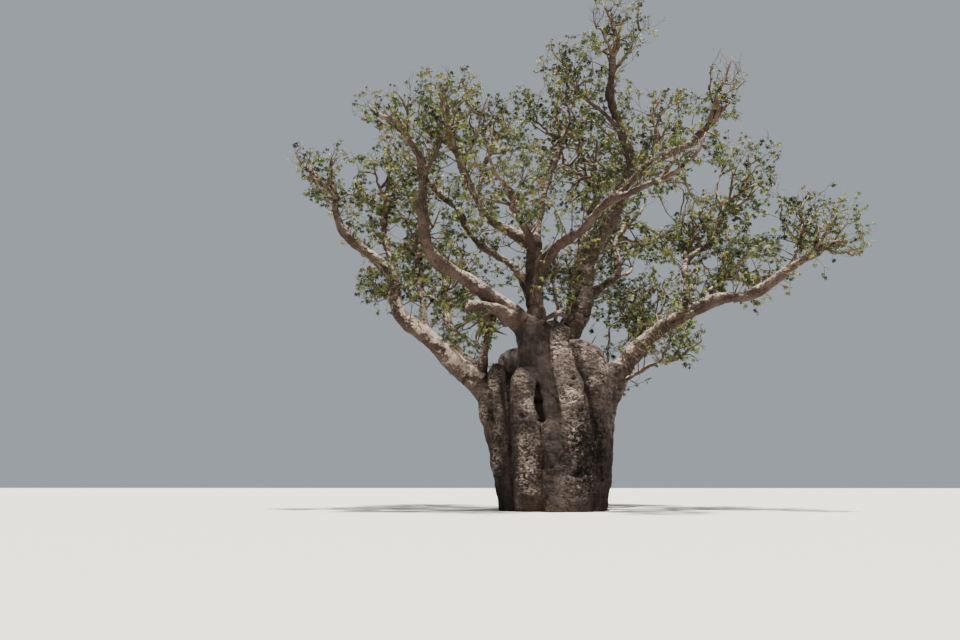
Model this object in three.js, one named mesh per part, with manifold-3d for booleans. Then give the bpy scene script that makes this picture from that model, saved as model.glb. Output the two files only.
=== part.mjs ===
// An old boab, the bottle-trunked baobab: a trunk of many stems grown together, crooked tapering boughs
// and masses of foliage at their tips.
// Millimetres, +Z up, origin at the middle of the flat cut at ground level.
// The tree is seen from the front by looking along +Y.
import * as THREE from "three";
import { mergeVertices } from "three/addons/utils/BufferGeometryUtils.js";
import Module from "manifold-3d";

const wasm = await Module();
wasm.setup();

// Clearances
const GAP = 0.3; // between a limb and whatever it meets
const LIMB_CLEARANCE = 70; // between foliage and the bark of a bough that it passes
const SPACE_MARGIN = 0.012; // share of a mass's reach that it keeps from its neighbours
const MERGED = 1e-3; // corners nearer to each other than this are one

// Trunk
const GROUND_SIDE = 9000; // the block that cuts the trunk off flat at the ground
const STEM_SIDES = 11;
const STEM_RINGS = 3; // along the straight part of a stem
const DOME_RINGS = 3; // over its rounded head
const DOME_END = 0.2; // a rounded head ends in a small flat of this share of its radius

// Boughs
const BODY_SHARE = 0.55; // a bough's radius just past the flare of its foot, against that at the foot
const FLARE_POWER = 7; // how soon the flare is over
const RING_SPACING = 3.6; // between two rings of a bough, against its mean radius
const LEAST_MEAN_RADIUS = 110; // a thinner bough has its rings no closer than one of this radius
const STOUT = { foot: 200, sides: 8 }; // a bough with a foot thicker than this has this many sides
const SLIGHT_SIDES = 6; // and any other this many
const CLEARANCE_POINTS = 40; // along a limb, less one, from which foliage keeps clear

// Foliage
const TWIGS_PER_MASS = 7;
const TRIES_PER_TWIG = 12;
const TWIG_SIDES = 3;
const TWIG_TIP = 28; // radius of the last twigs
const TWIG_THINNING = 0.75; // a last twig's tip against its foot
const SIDE_TWIG = 0.6; // the most that a side twig's foot may be, against what it grows from
const TURN_COST = 0.6; // how much a twig avoids a sharp turn
const PATH_COST = 0.15; // how much it avoids a long way round to the trunk
const TWIG_REACH = { least: 0.16, most: 0.55 }; // how far out twigs end, as shares of the mass's reach
const TESTED_SHARES = [0.35, 0.6, 0.85]; // of a new twig's length: it is kept if it is free at all of them
const IN_SPACE_FROM = 0.5; // from this share of its length on, it is also inside the mass's space
const LEAF = { length: 0.58, width: 0.5, thickness: 0.035 }; // shares of its mass's reach
const LEAF_BELLY = 0.42; // where along a leaf it is widest
const LEAF_SUNK = 0.4; // how far a leaf's root lies behind the twig's middle, against its radius
const LEAF_PLACES = [0.95, 0.5]; // along a last twig; any other twig has only the first
const LEAF_ONWARD = 0.5; // how much a leaf follows its twig
const LEAF_OUTWARD = 0.45; // and how much it points out of the mass
const LEAF_RISE = 0.05; // how much more often one turns up than down
const LEAF_TESTED = [0.35, 0.7, 1]; // of the way from its root to each corner: it stands clear of limbs there

// Scatter: the steps between neighbouring numbers, and how far apart the masses' and the leaves' rows start
const SCATTER_STEPS = [0.8191725134, 0.6710436067, 0.5497004779];
const MASS_STRIDE = 977;
const LEAF_STRIDE = { mass: 101, knot: 7 };

const BARK = new THREE.MeshStandardMaterial({ color: 0x8d7666, roughness: 0.95, metalness: 0 });
const FOLIAGE = new THREE.MeshStandardMaterial({ color: 0x76803c, roughness: 0.7, metalness: 0 });

// The stems that make up the trunk: the places of the foot, the belly and the head, and the radius at each.
const STEMS = {
  core: {
    route: [[-50, 0, -100], [-80, 0, 2300], [-260, -120, 4560]],
    girth: [1050, 1180, 520],
  },
  left_flank: {
    route: [[-860, -240, -100], [-1140, -280, 1400], [-1540, -280, 3250]],
    girth: [480, 480, 470],
  },
  left_fold: {
    route: [[-830, -640, -100], [-1020, -740, 1500], [-1400, -700, 3640]],
    girth: [350, 340, 240],
  },
  left_shoulder: {
    route: [[-700, 150, -100], [-900, 150, 2000], [-940, 60, 4210]],
    girth: [520, 560, 410],
  },
  front_left: {
    route: [[-560, -880, -100], [-600, -1040, 1700], [-600, -980, 3540]],
    girth: [420, 440, 430],
  },
  front_column: {
    route: [[10, -1230, -100], [-40, -1290, 1700], [-430, -780, 4660]],
    girth: [330, 250, 420],
  },
  neck: {
    route: [[-100, -1100, 2600], [-380, -880, 3500], [-420, -750, 4850]],
    girth: [200, 430, 430],
  },
  saddle: {
    route: [[100, 100, 3000], [150, 150, 4000], [260, 240, 4860]],
    girth: [600, 500, 380],
  },
  right_front: {
    route: [[400, -800, -100], [480, -860, 1900], [-20, -500, 4750]],
    girth: [560, 600, 280],
  },
  right_finger: {
    route: [[890, -700, -100], [1050, -820, 1700], [1030, -830, 3220]],
    girth: [300, 310, 270],
  },
  right_lobe: {
    route: [[600, -50, -100], [720, -100, 1900], [580, -80, 4360]],
    girth: [720, 840, 860],
  },
  right_flank: {
    route: [[740, 420, -100], [980, 460, 1600], [1330, 280, 3250]],
    girth: [530, 520, 470],
  },
  back: {
    route: [[160, 840, -100], [260, 1000, 1900], [640, 760, 4380]],
    girth: [700, 740, 480],
  },
  back_left: {
    route: [[-500, 800, -100], [-640, 950, 1900], [-560, 620, 4150]],
    girth: [600, 640, 500],
  },
  left_back: {
    route: [[-880, 330, -100], [-1180, 440, 1500], [-1330, 420, 3300]],
    girth: [480, 480, 430],
  },
};

// Each bough: the bends that it passes through, its radius at foot and tip, and the reach and middle of the
// foliage at its tip. A bough that bends round a wide gap is split there, at the share of its length in
// splitAt. One carries the stump of a lost limb.
const BOUGHS = {
  left_low: {
    route: [[-1250, -270, 2750], [-3110, -600, 4370], [-3850, -830, 4930], [-4080, -1000, 5850],
      [-5620, -1300, 8000]],
    foot: 500, tip: 95, splitAt: 0.53, foliage: { middle: [-6120, -1300, 8850], reach: 1050 },
  },
  left_inner: {
    route: [[-3230, -660, 4450], [-3380, -500, 5400], [-3640, 0, 6650]],
    foot: 150, tip: 75, foliage: { middle: [-3800, 500, 7800], reach: 1450 },
  },
  left_pale: {
    route: [[-4080, -1000, 5850], [-4270, -800, 6600], [-4520, -350, 7800]],
    foot: 120, tip: 75, foliage: { middle: [-4850, -300, 8800], reach: 1250 },
  },
  left_droop: {
    route: [[-3850, -820, 4950], [-4020, -1150, 5230], [-4180, -1500, 5330]],
    foot: 90, tip: 50, foliage: { middle: [-4400, -1950, 5350], reach: 750 },
  },
  left_spur: {
    route: [[-1880, -380, 3500], [-1660, -650, 4240], [-1500, -900, 4650]],
    foot: 220, tip: 100, foliage: { middle: [-1950, -1300, 4650], reach: 850 },
  },
  left_mid: {
    route: [[-420, -800, 4350], [-1140, -1100, 5010], [-2830, -2000, 6230], [-3110, -2500, 7360],
      [-3350, -2850, 8850]],
    foot: 390, tip: 95, splitAt: 0.52, foliage: { middle: [-3800, -3150, 9450], reach: 950 },
    stump: {
      route: [[-1000, -1120, 4720], [-1320, -1400, 4890], [-2040, -1750, 4960]],
      foot: 270, tip: 145,
    },
  },
  left_mid_fork: {
    route: [[-3140, -2580, 7900], [-2780, -2780, 8450], [-2560, -2950, 8850]],
    foot: 90, tip: 60, foliage: { middle: [-2450, -3100, 9650], reach: 950 },
  },
  centre: {
    route: [[-430, -780, 4400], [-380, -560, 5950], [-440, -500, 7050]],
    foot: 340, tip: 250,
  },
  left_back: {
    route: [[-400, -300, 5500], [-1370, 500, 6890], [-2070, 800, 7430], [-2580, 1100, 8470],
      [-3600, 1480, 9600]],
    foot: 180, tip: 95, foliage: { middle: [-4300, 1600, 10250], reach: 1350 },
  },
  centre_left: {
    route: [[-450, -500, 6900], [-1640, -500, 7690], [-1930, -600, 8290], [-2480, -820, 9550]],
    foot: 220, tip: 105, foliage: { middle: [-2640, -900, 10700], reach: 1250 },
  },
  centre_left_fork: {
    route: [[-1950, -600, 8300], [-1850, -250, 8900], [-1700, 50, 9600]],
    foot: 105, tip: 70, foliage: { middle: [-1450, 600, 10750], reach: 1400 },
  },
  centre_up: {
    route: [[-440, -480, 6950], [-190, 0, 8170], [80, 400, 9220], [350, 900, 10400]],
    foot: 180, tip: 90, foliage: { middle: [150, 1350, 11500], reach: 1550 },
  },
  centre_front: {
    route: [[-440, -520, 6800], [-560, -1300, 6950], [-830, -2400, 7150]],
    foot: 170, tip: 85, foliage: { middle: [-1000, -3050, 7600], reach: 1350 },
  },
  centre_right: {
    route: [[-370, -520, 6050], [190, -900, 6710], [900, -1400, 6940], [1650, -2200, 7480],
      [3370, -2800, 8480], [3850, -2950, 8900]],
    foot: 225, tip: 85, foliage: { middle: [4120, -3050, 9720], reach: 880 },
  },
  centre_right_fork: {
    route: [[2300, -2460, 8000], [2480, -2500, 8350], [2600, -2500, 8600]],
    foot: 95, tip: 65, foliage: { middle: [2800, -2450, 9500], reach: 1150 },
  },
  centre_right_low: {
    route: [[1600, -2150, 7450], [2050, -2700, 7420], [2480, -3200, 7380]],
    foot: 140, tip: 75, foliage: { middle: [3150, -3850, 7500], reach: 1050 },
  },
  tall: {
    route: [[200, 450, 3900], [480, 620, 4600], [880, 900, 5500], [1000, 1080, 6300],
      [1640, 1000, 7790], [2400, 800, 9700], [1900, 450, 11400], [1930, 200, 12550]],
    foot: 480, tip: 100, splitAt: 0.67, foliage: { middle: [2050, 100, 13700], reach: 1300 },
  },
  tall_side: {
    route: [[2150, 640, 10450], [1550, 220, 10950], [1180, -200, 11150]],
    foot: 115, tip: 65, foliage: { middle: [740, -600, 11850], reach: 1080 },
  },
  right_low: {
    route: [[1300, 300, 2900], [2180, 200, 4020], [3660, -200, 5030], [5100, -400, 5400],
      [6480, -720, 6230]],
    foot: 450, tip: 100, splitAt: 0.52, foliage: { middle: [7100, -1150, 6650], reach: 950 },
  },
  right_tip_fork: {
    route: [[6150, -640, 6020], [6350, -350, 6550], [6480, -200, 6850]],
    foot: 95, tip: 65, foliage: { middle: [6750, 200, 7750], reach: 1100 },
  },
  right_riser: {
    route: [[3560, -180, 4980], [3600, 100, 5730], [3750, 450, 6570], [4490, 800, 7240],
      [4890, 1000, 8070]],
    foot: 170, tip: 85, foliage: { middle: [5650, 1400, 9250], reach: 1400 },
  },
  right_riser_fork: {
    route: [[3720, 420, 6500], [3760, 680, 6950]],
    foot: 100, tip: 70, foliage: { middle: [3850, 1000, 7950], reach: 1400 },
  },
  right_top: {
    route: [[4000, -240, 5180], [4130, -60, 5600], [4420, 80, 5850]],
    foot: 95, tip: 60, foliage: { middle: [5150, 300, 6450], reach: 1150 },
  },
  right_droop: {
    route: [[1750, 100, 3120], [2280, -100, 3500], [2640, -300, 3670], [2900, -450, 3690]],
    foot: 120, tip: 50, foliage: { middle: [3300, -800, 4050], reach: 750 },
  },
  right_back: {
    route: [[800, 1000, 5200], [1050, 1300, 5850], [1530, 1600, 6200], [1970, 1850, 6600],
      [2060, 2100, 7100], [2000, 2400, 7700], [2300, 2900, 8400]],
    foot: 270, tip: 90, foliage: { middle: [2600, 4050, 8500], reach: 1700 },
  },
  back: {
    route: [[650, 900, 5300], [800, 2000, 6900], [1600, 3800, 9900]],
    foot: 260, tip: 120, foliage: { middle: [1600, 4400, 11200], reach: 1900 },
  },
  back_low_left: {
    route: [[-700, 700, 3100], [-1700, 1300, 3550], [-2600, 2000, 4350], [-3200, 3000, 5800]],
    foot: 330, tip: 120, foliage: { middle: [-3350, 3500, 6950], reach: 1800 },
  },
  back_low_right: {
    route: [[800, 800, 3000], [1900, 1500, 3750], [2700, 2700, 4600], [2900, 3300, 5200]],
    foot: 300, tip: 110, foliage: { middle: [2900, 4000, 6100], reach: 1650 },
  },
};

const UP = new THREE.Vector3(0, 0, 1);
const vector = (point) => new THREE.Vector3(...point);

// Turns a closed three.js geometry into a solid.
function solidOf(geometry) {
  const bare = new THREE.BufferGeometry();
  bare.setAttribute("position", geometry.getAttribute("position"));
  bare.setIndex(geometry.getIndex());
  const merged = mergeVertices(bare.index ? bare : mergeVertices(bare), MERGED);
  return new wasm.Manifold(new wasm.Mesh({
    numProp: 3,
    vertProperties: merged.attributes.position.array,
    triVerts: new Uint32Array(merged.index.array),
  }));
}

// Turns a solid back into a three.js geometry with flat faces.
function geometryOf(solid) {
  const mesh = solid.getMesh();
  const geometry = new THREE.BufferGeometry();
  geometry.setAttribute("position", new THREE.BufferAttribute(mesh.vertProperties, 3));
  geometry.setIndex(new THREE.BufferAttribute(mesh.triVerts, 1));
  const faceted = geometry.toNonIndexed();
  faceted.computeVertexNormals();
  return faceted;
}

// The largest body of a solid, with loose scraps dropped and sealed hollows filled.
function mainBody(solid) {
  return solid.decompose().reduce((best, body) => (body.volume() > best.volume() ? body : best));
}

// A cylinder bent through a row of places: at each it has a ring square to the way there, of the radius
// there.
function bentCylinder(places, ways, radii, sides) {
  const shape = new THREE.CylinderGeometry(1, 1, 1, sides, places.length - 1);
  const corners = shape.getAttribute("position");
  let side = new THREE.Vector3(0.31, 0.67, 0.52);
  const rings = places.map((place, index) => {
    side = side.clone().addScaledVector(ways[index], -side.dot(ways[index])).normalize();
    return { place, side, face: side.clone().cross(ways[index]), radius: radii[index] };
  });
  for (let i = 0; i < corners.count; i++) {
    const ring = rings[Math.round((corners.getY(i) + 0.5) * (places.length - 1))];
    const corner = ring.place.clone()
      .addScaledVector(ring.side, corners.getX(i) * ring.radius)
      .addScaledVector(ring.face, corners.getZ(i) * ring.radius);
    corners.setXYZ(i, corner.x, corner.y, corner.z);
  }
  return shape;
}

// The same along a curve, with one ring at each of the given shares of its length. The room is added all
// round: to every radius, and past the foot and the rings of the head.
function alongCurve(curve, shares, radiusAt, sides, room, headRings) {
  const ways = shares.map((share) => curve.getTangentAt(share));
  const places = shares.map((share, ring) => {
    const atHead = ring >= shares.length - headRings;
    const onward = ring === 0 ? -room : (atHead ? room : 0);
    return curve.getPointAt(share).addScaledVector(ways[ring], onward);
  });
  return bentCylinder(places, ways, shares.map((share) => radiusAt(share) + room), sides);
}

function evenShares(from, to, count) {
  return Array.from({ length: count + 1 }, (_, i) => from + ((to - from) * i) / count);
}

// A stem swells from foot to belly, and its head is rounded like half a ball.
function stemSolid({ route, girth: [foot, belly, head] }, room) {
  const curve = new THREE.CatmullRomCurve3(route.map(vector));
  const domeStart = 1 - head / curve.getLength();
  const dome = evenShares(0, Math.PI / 2, DOME_RINGS).slice(1, -1)
    .map((turn) => domeStart + (1 - domeStart) * Math.sin(turn));
  const shares = [...evenShares(0, domeStart, STEM_RINGS), ...dome, 1];
  const radiusAt = (share) => {
    const lower = foot * (1 - share) * (1 - 2 * share);
    const middle = belly * 4 * share * (1 - share);
    const upper = head * share * (2 * share - 1);
    const intoDome = Math.max((share - domeStart) / (1 - domeStart), 0);
    return (lower + middle + upper) * Math.sqrt(Math.max(1 - intoDome ** 2, DOME_END ** 2));
  };
  return solidOf(alongCurve(curve, shares, radiusAt, STEM_SIDES, room, DOME_RINGS));
}

function trunkSolid(room = 0) {
  const ground = new THREE.BoxGeometry(GROUND_SIDE, GROUND_SIDE, GROUND_SIDE)
    .translate(0, 0, -GROUND_SIDE / 2);
  const stems = Object.values(STEMS).map((stem) => stemSolid(stem, room));
  return mainBody(wasm.Manifold.union(stems).subtract(solidOf(ground)));
}

// A bough flares out at its foot and tapers evenly past that.
function boughRadius({ foot, tip }, share) {
  const body = foot * BODY_SHARE;
  return tip + (body - tip) * (1 - share) + (foot - body) * (1 - share) ** FLARE_POWER;
}

// One stretch of a bough, from one share of its length to another.
function boughSolid(bough, from, to, room = 0) {
  const length = bough.curve.getLength() * (to - from);
  const spacing = RING_SPACING * Math.max((bough.foot + bough.tip) / 2, LEAST_MEAN_RADIUS);
  const rings = Math.max(2, Math.round(length / spacing));
  const sides = bough.foot > STOUT.foot ? STOUT.sides : SLIGHT_SIDES;
  const radiusAt = (share) => boughRadius(bough, share);
  return solidOf(alongCurve(bough.curve, evenShares(from, to, rings), radiusAt, sides, room, 1));
}

// The shares of a bough's length at which it starts, is split, and ends.
function stretchesOf({ curve, splitAt }) {
  return splitAt ? [[0, splitAt], [splitAt + GAP / curve.getLength(), 1]] : [[0, 1]];
}

// A stretch with the stump that it carries.
function stretchSolid(bough, index, room = 0) {
  const [from, to] = stretchesOf(bough)[index];
  const stretch = boughSolid(bough, from, to, room);
  return index === 0 && bough.stump ? stretch.add(boughSolid(bough.stump, 0, 1, room)) : stretch;
}

const root = new THREE.Group();

function addMesh(name, solid, material) {
  const mesh = new THREE.Mesh(geometryOf(solid), material);
  mesh.name = name;
  root.add(mesh);
}

const limbs = Object.values(BOUGHS).flatMap((bough) => (bough.stump ? [bough, bough.stump] : [bough]));
limbs.forEach((limb) => {
  limb.curve = new THREE.CatmullRomCurve3(limb.route.map(vector));
});

// The trunk, and the boughs in order, each cut clear of what stands before it.
let standing = trunkSolid(GAP);
addMesh("trunk", trunkSolid(), BARK);
for (const [name, bough] of Object.entries(BOUGHS)) {
  const before = standing;
  stretchesOf(bough).forEach((_, index, all) => {
    const piece = mainBody(stretchSolid(bough, index).subtract(before));
    addMesh(`bough_${name}${all.length > 1 ? `_${index + 1}` : ""}`, piece, BARK);
    standing = standing.add(stretchSolid(bough, index, GAP));
  });
}

// Points along every limb with the radius there, which foliage stays clear of.
const limbPoints = limbs.flatMap((limb) =>
  evenShares(0, 1, CLEARANCE_POINTS).map((share) => ({
    at: limb.curve.getPointAt(share),
    radius: boughRadius(limb, share),
    limb,
  })),
);

const masses = Object.entries(BOUGHS)
  .filter(([, bough]) => bough.foliage)
  .map(([name, bough]) => {
    const { middle, reach } = bough.foliage;
    return { name, bough, middle: vector(middle), reach };
  });

// How far out in a mass's space a point lies: 0 at its middle and 1 at its edge.
const depthIn = (mass, point) => point.distanceTo(mass.middle) / mass.reach;

// A point belongs to a mass when it is inside its reach and nearer to it than to any other mass.
function belongs(mass, point) {
  const own = depthIn(mass, point) + SPACE_MARGIN;
  return own < 1 && masses.every((other) => other === mass || own < depthIn(other, point) - SPACE_MARGIN);
}

function clearOfLimbs(mass, point, size) {
  return limbPoints.every(({ at, radius, limb }) => {
    const room = limb === mass.bough ? 0 : LIMB_CLEARANCE;
    return point.distanceTo(at) > radius + size + room;
  });
}

// Evenly scattered numbers from 0 to 1: the same index always gives the same three.
function scatter(index) {
  return SCATTER_STEPS.map((step) => (0.5 + index * step) % 1);
}

// The places that twigs grow to: spread evenly through the mass's space, more thinly at its middle.
function targetsOf(mass, order) {
  const targets = [];
  for (let i = 0; targets.length < TWIGS_PER_MASS && i < TWIGS_PER_MASS * TRIES_PER_TWIG; i++) {
    const [a, b, c] = scatter(order * MASS_STRIDE + i);
    const turn = 2 * Math.PI * a;
    const height = 2 * b - 1;
    const out = mass.reach * (TWIG_REACH.least + (TWIG_REACH.most - TWIG_REACH.least) * Math.sqrt(c));
    const flat = Math.sqrt(1 - height * height);
    const point = new THREE.Vector3(flat * Math.cos(turn), flat * Math.sin(turn), height)
      .multiplyScalar(out).add(mass.middle);
    if (belongs(mass, point) && clearOfLimbs(mass, point, TWIG_TIP)) targets.push(point);
  }
  return targets;
}

// Twigs branch from the bough's tip by one rule: the nearest place to the tip is taken first, and each place
// is joined to the knot that it is cheapest to reach from.
function knotsOf(mass, order) {
  const { bough } = mass;
  const along = bough.curve.getTangentAt(1);
  const foot = bough.curve.getPointAt(1).addScaledVector(along, GAP);
  const neck = foot.clone().addScaledVector(along, bough.tip * 2);
  const knots = [
    { at: foot, way: along, path: 0, back: null, load: 0 },
    { at: neck, way: along, path: bough.tip * 2, back: 0, load: 0 },
  ];
  const targets = targetsOf(mass, order).sort((p, q) => p.distanceTo(foot) - q.distanceTo(foot));
  for (const target of targets) {
    let best = null;
    knots.slice(1).forEach((knot, index) => {
      const step = target.clone().sub(knot.at);
      const length = step.length();
      const turn = 1 - step.normalize().dot(knot.way);
      const cost = length * (1 + TURN_COST * turn) + PATH_COST * knot.path;
      if (!best || cost < best.cost) best = { cost, back: index + 1, path: knot.path + length, way: step };
    });
    const start = knots[best.back].at;
    const free = TESTED_SHARES.every((share) => {
      const point = start.clone().lerp(target, share);
      return clearOfLimbs(mass, point, TWIG_TIP * 2) && (share < IN_SPACE_FROM || belongs(mass, point));
    });
    if (free) knots.push({ at: target, way: best.way, path: best.path, back: best.back, load: 1 });
  }
  for (let i = knots.length - 1; i > 0; i--) knots[knots[i].back].load += knots[i].load;
  return knots;
}

// A leaf stands for a spray of leaves: a blade that is thickest along its rib and widest near its root.
function leafGeometry(place, way, roll, reach) {
  const length = LEAF.length * reach;
  const blade = new THREE.OctahedronGeometry(1)
    .scale((LEAF.width * reach) / 2, 1, (LEAF.thickness * reach) / 2);
  const corners = blade.getAttribute("position");
  for (let k = 0; k < corners.count; k++) {
    const along = corners.getY(k);
    corners.setY(k, length * (LEAF_BELLY + along * (along < 0 ? LEAF_BELLY : 1 - LEAF_BELLY)));
  }
  const side = new THREE.Vector3().crossVectors(way, UP).normalize().applyAxisAngle(way, roll);
  const face = new THREE.Vector3().crossVectors(side, way);
  const turned = blade.applyMatrix4(new THREE.Matrix4().makeBasis(side, way, face));
  return turned.translate(place.x, place.y, place.z);
}

// A leaf grows on from its twig, outwards and a little to one side. It is skipped if it would leave the
// space.
function leafSolid(mass, knot, from, share, thick, seed) {
  const [a, b, c] = scatter(seed);
  const place = from.at.clone().lerp(knot.at, share);
  const outward = place.clone().sub(mass.middle).normalize();
  const aside = new THREE.Vector3(a - 0.5, b - 0.5, c - 0.5 + LEAF_RISE);
  const way = knot.way.clone().multiplyScalar(LEAF_ONWARD * share)
    .addScaledVector(outward, LEAF_OUTWARD).addScaledVector(aside, 2 - share).normalize();
  const rootOf = place.addScaledVector(way, -LEAF_SUNK * thick);
  const blade = leafGeometry(rootOf, way, Math.PI * (a + b), mass.reach);
  const corners = blade.getAttribute("position");
  for (let k = 0; k < corners.count; k++) {
    const corner = new THREE.Vector3().fromBufferAttribute(corners, k);
    const clear = LEAF_TESTED.every((part) => clearOfLimbs(mass, rootOf.clone().lerp(corner, part), 0));
    if (!clear || !belongs(mass, corner)) return null;
  }
  return solidOf(blade);
}

// The knots in rows, each of which one bent twig passes through: at every knot the heaviest branch goes on.
function rowsOf(knots) {
  const next = knots.map(() => -1);
  knots.forEach(({ back, load }, index) => {
    if (back !== null && (next[back] === -1 || load > knots[next[back]].load)) next[back] = index;
  });
  const rows = [];
  knots.forEach(({ back }, index) => {
    const goesOn = index > 1 && next[back] === index;
    if (index === 0 || goesOn) return;
    const row = [back];
    for (let at = index; at !== -1; at = next[at]) row.push(at);
    rows.push(row);
  });
  return rows;
}

function massSolid(mass, order) {
  const knots = knotsOf(mass, order);
  const whole = Math.max(knots[1].load, 2);
  const thickFor = (load) => {
    const share = Math.max(load - 1, 0) / (whole - 1);
    return TWIG_TIP + (mass.bough.tip - TWIG_TIP) * Math.sqrt(share);
  };
  const pieces = [];
  for (const row of rowsOf(knots)) {
    const places = row.map((at) => knots[at].at);
    const ways = row.map((at, i) => {
      const into = knots[row[Math.max(i, 1)]].way;
      const onward = knots[row[Math.min(i + 1, row.length - 1)]].way;
      return into.clone().add(onward).normalize();
    });
    const radii = row.slice(1).map((at) => thickFor(knots[at].load));
    radii.push(TWIG_TIP * TWIG_THINNING);
    if (row[0] > 0) radii[0] = Math.min(radii[0], knots[row[0]].thick * SIDE_TWIG);
    row.forEach((at, i) => {
      if (i > 0) knots[at].thick = radii[i];
    });
    pieces.push(solidOf(bentCylinder(places, ways, radii, TWIG_SIDES)));
  }
  knots.slice(2).forEach((knot, index) => {
    const isLast = knot.load === 1;
    LEAF_PLACES.slice(0, isLast ? LEAF_PLACES.length : 1).forEach((share, place) => {
      const seed = order * LEAF_STRIDE.mass + index * LEAF_STRIDE.knot + place;
      const leaf = leafSolid(mass, knot, knots[knot.back], share, knot.thick, seed);
      if (leaf) pieces.push(leaf);
    });
  });
  return mainBody(wasm.Manifold.union(pieces));
}

masses.forEach((mass, order) => addMesh(`leaves_${mass.name}`, massSolid(mass, order + 1), FOLIAGE));

export default root;
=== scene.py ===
"""An old boab, the bottle-trunked baobab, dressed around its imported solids.

The trunk is many stems grown together under pitted, wrinkled bark. The boughs are crooked and tapering. Each
mass of foliage grows from its bough's tip by the rule that the solids follow, carried on to finer twigs.
Metres, +Z up; the front is seen by looking along +Y.
"""

import math

import bpy
import numpy as np
from mathutils import Euler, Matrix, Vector, noise


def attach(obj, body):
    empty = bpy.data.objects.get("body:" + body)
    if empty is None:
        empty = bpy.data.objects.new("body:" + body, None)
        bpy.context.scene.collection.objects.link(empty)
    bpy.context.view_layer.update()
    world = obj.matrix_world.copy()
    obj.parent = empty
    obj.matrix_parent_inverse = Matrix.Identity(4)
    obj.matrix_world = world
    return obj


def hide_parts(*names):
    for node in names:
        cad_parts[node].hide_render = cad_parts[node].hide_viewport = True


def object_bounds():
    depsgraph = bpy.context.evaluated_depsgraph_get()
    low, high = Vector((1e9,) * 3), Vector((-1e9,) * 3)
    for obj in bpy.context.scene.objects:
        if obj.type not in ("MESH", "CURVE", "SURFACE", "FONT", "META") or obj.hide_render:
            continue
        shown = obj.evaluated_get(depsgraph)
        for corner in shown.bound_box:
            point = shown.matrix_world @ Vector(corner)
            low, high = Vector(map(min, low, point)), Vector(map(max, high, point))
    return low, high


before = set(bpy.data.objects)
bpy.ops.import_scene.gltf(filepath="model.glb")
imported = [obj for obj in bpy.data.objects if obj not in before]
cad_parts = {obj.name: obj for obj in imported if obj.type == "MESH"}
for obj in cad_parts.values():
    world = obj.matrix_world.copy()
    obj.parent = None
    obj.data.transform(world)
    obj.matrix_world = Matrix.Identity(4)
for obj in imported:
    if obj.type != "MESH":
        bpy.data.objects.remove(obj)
CAD_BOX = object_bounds()

# Camera: low in front of the tree, with a 28 mm lens
CAMERA_PLACE = (0, -19.5, 0.6)
CAMERA_LENS = 28
SENSOR_WIDTH = 36
PICTURE_MIDDLE = (480, 320)
PICTURE_FOCUS = 746.7
EYE_LEVEL_BELOW_MIDDLE = 166
TRUNK_BESIDE_MIDDLE = 72
CAMERA_TILT = math.atan(EYE_LEVEL_BELOW_MIDDLE / PICTURE_FOCUS)
CAMERA_TURN = math.atan(TRUNK_BESIDE_MIDDLE / PICTURE_FOCUS)

# Seed of everything that is left to chance
SEED = 41
rng = np.random.default_rng(SEED)
noise.seed_set(SEED)

# Wood
CURVE_STEPS = 12
STEM_SIDES = 20
STEM_RINGS = 12
DOME_RINGS = 8
DOME_END = 0.02
LIMB_SIDES = 14
RING_SPACING = 0.16
LEAST_RINGS = 4
# How crooked a bough is: a stout one less
GNARL = 0.12
GNARL_SCALE = 0.9
BULGE_SCALE = 1.7
STOUT = 0.2
STOUT_GNARL = 0.6
# The share of a bough that is both in its own piece and in the stub on the trunk's piece
STUB_OVERLAP = 0.05
TRUNK_VOXEL = 0.018
BOUGH_VOXEL = 0.026
# How strongly the melted wood is smoothed, and how often: the trunk, its carving and the boughs
SMOOTHING = 0.5
TRUNK_MELTED = 14
CARVING_MELTED = 5
BOUGH_MELTED = 6
PIECE_TRIANGLES = 188000
# Along Y, where the trunk's front half meets its back half
TRUNK_HALVES_AT = 0.05

# Bark: how far its lumps, knobs, wrinkles and creases stand out
TRUNK_RELIEF = (0.09, 0.05, 0.045, 0.04)
BOUGH_RELIEF = (0.10, 0.045, 0.03, 0.035)
BOUGH_ROUGHNESS = 0.4
ROUGHNESS_LEVELS = 20
# How deep the bark's finest grain looks
TRUNK_GRAIN = 0.045
BOUGH_GRAIN = 0.04
# Folds where stems meet, soft hollows, and the carving
FOLD_WIDTH = 0.06
FOLD_DEPTH = 0.035
FOLD_SAMPLES = 46
FOLDS_END_AT = 3.3
# Where the folds are shallow, beside the column: from and to along X, and in front of what along Y
BESIDE_COLUMN = ((0.05, 0.4), -0.9)
FOLD_BESIDE_COLUMN = 0.15
UNEVEN_SCALE = 1.3
HOLLOW_DEPTH = 0.05
HOLLOW_SCALE = 2.4
HOLLOWS_FROM = 0.4
CARVING_STEPS = 14
CARVING_SPREAD = 1.6
# Carved grooves at least this deep get painted shade along their middle
DARK_FROM_DEPTH = 0.06
# Along Y, where the trunk's front starts for its colour, and for its column and its rugged bark
FRONT = -0.2
WELL_FRONT = -0.3
COLUMN_EDGE = 0.06
# How high the neck starts, and how far above that the trunk's bark has passed to the boughs'
NECK_FROM = 4.3
NECK_BLEND = 0.8
BLOT_SCALE = 2.1
PALE_FRONT = 0.45
PALE_BACK = 0.5
LEAST_RUGGED = 0.5
# The smooth shoulder, which gets painted light: its middle, and how far it reaches along X, Y and Z
SHOULDER = ((-1.0, -0.45, 3.85), (0.42, 0.6, 0.5))
# A bough's stub on the trunk: its size at the foot, where the bough's own piece starts, and at the end
STUB_SIZES = (1.03, 1.01, 0.93)
# What counts as a stub: how many foot radii around the bough's line, and how high up. Its bark is as rough
# as the trunk's for a quarter of its length, and gets smoother past that
STUB_WIDTH = 1.25
STUBS_FROM = 2.9
STUB_WORN = 1.25
STUMP_RINGS = 8
COLLAR_RINGS = 12

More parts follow.
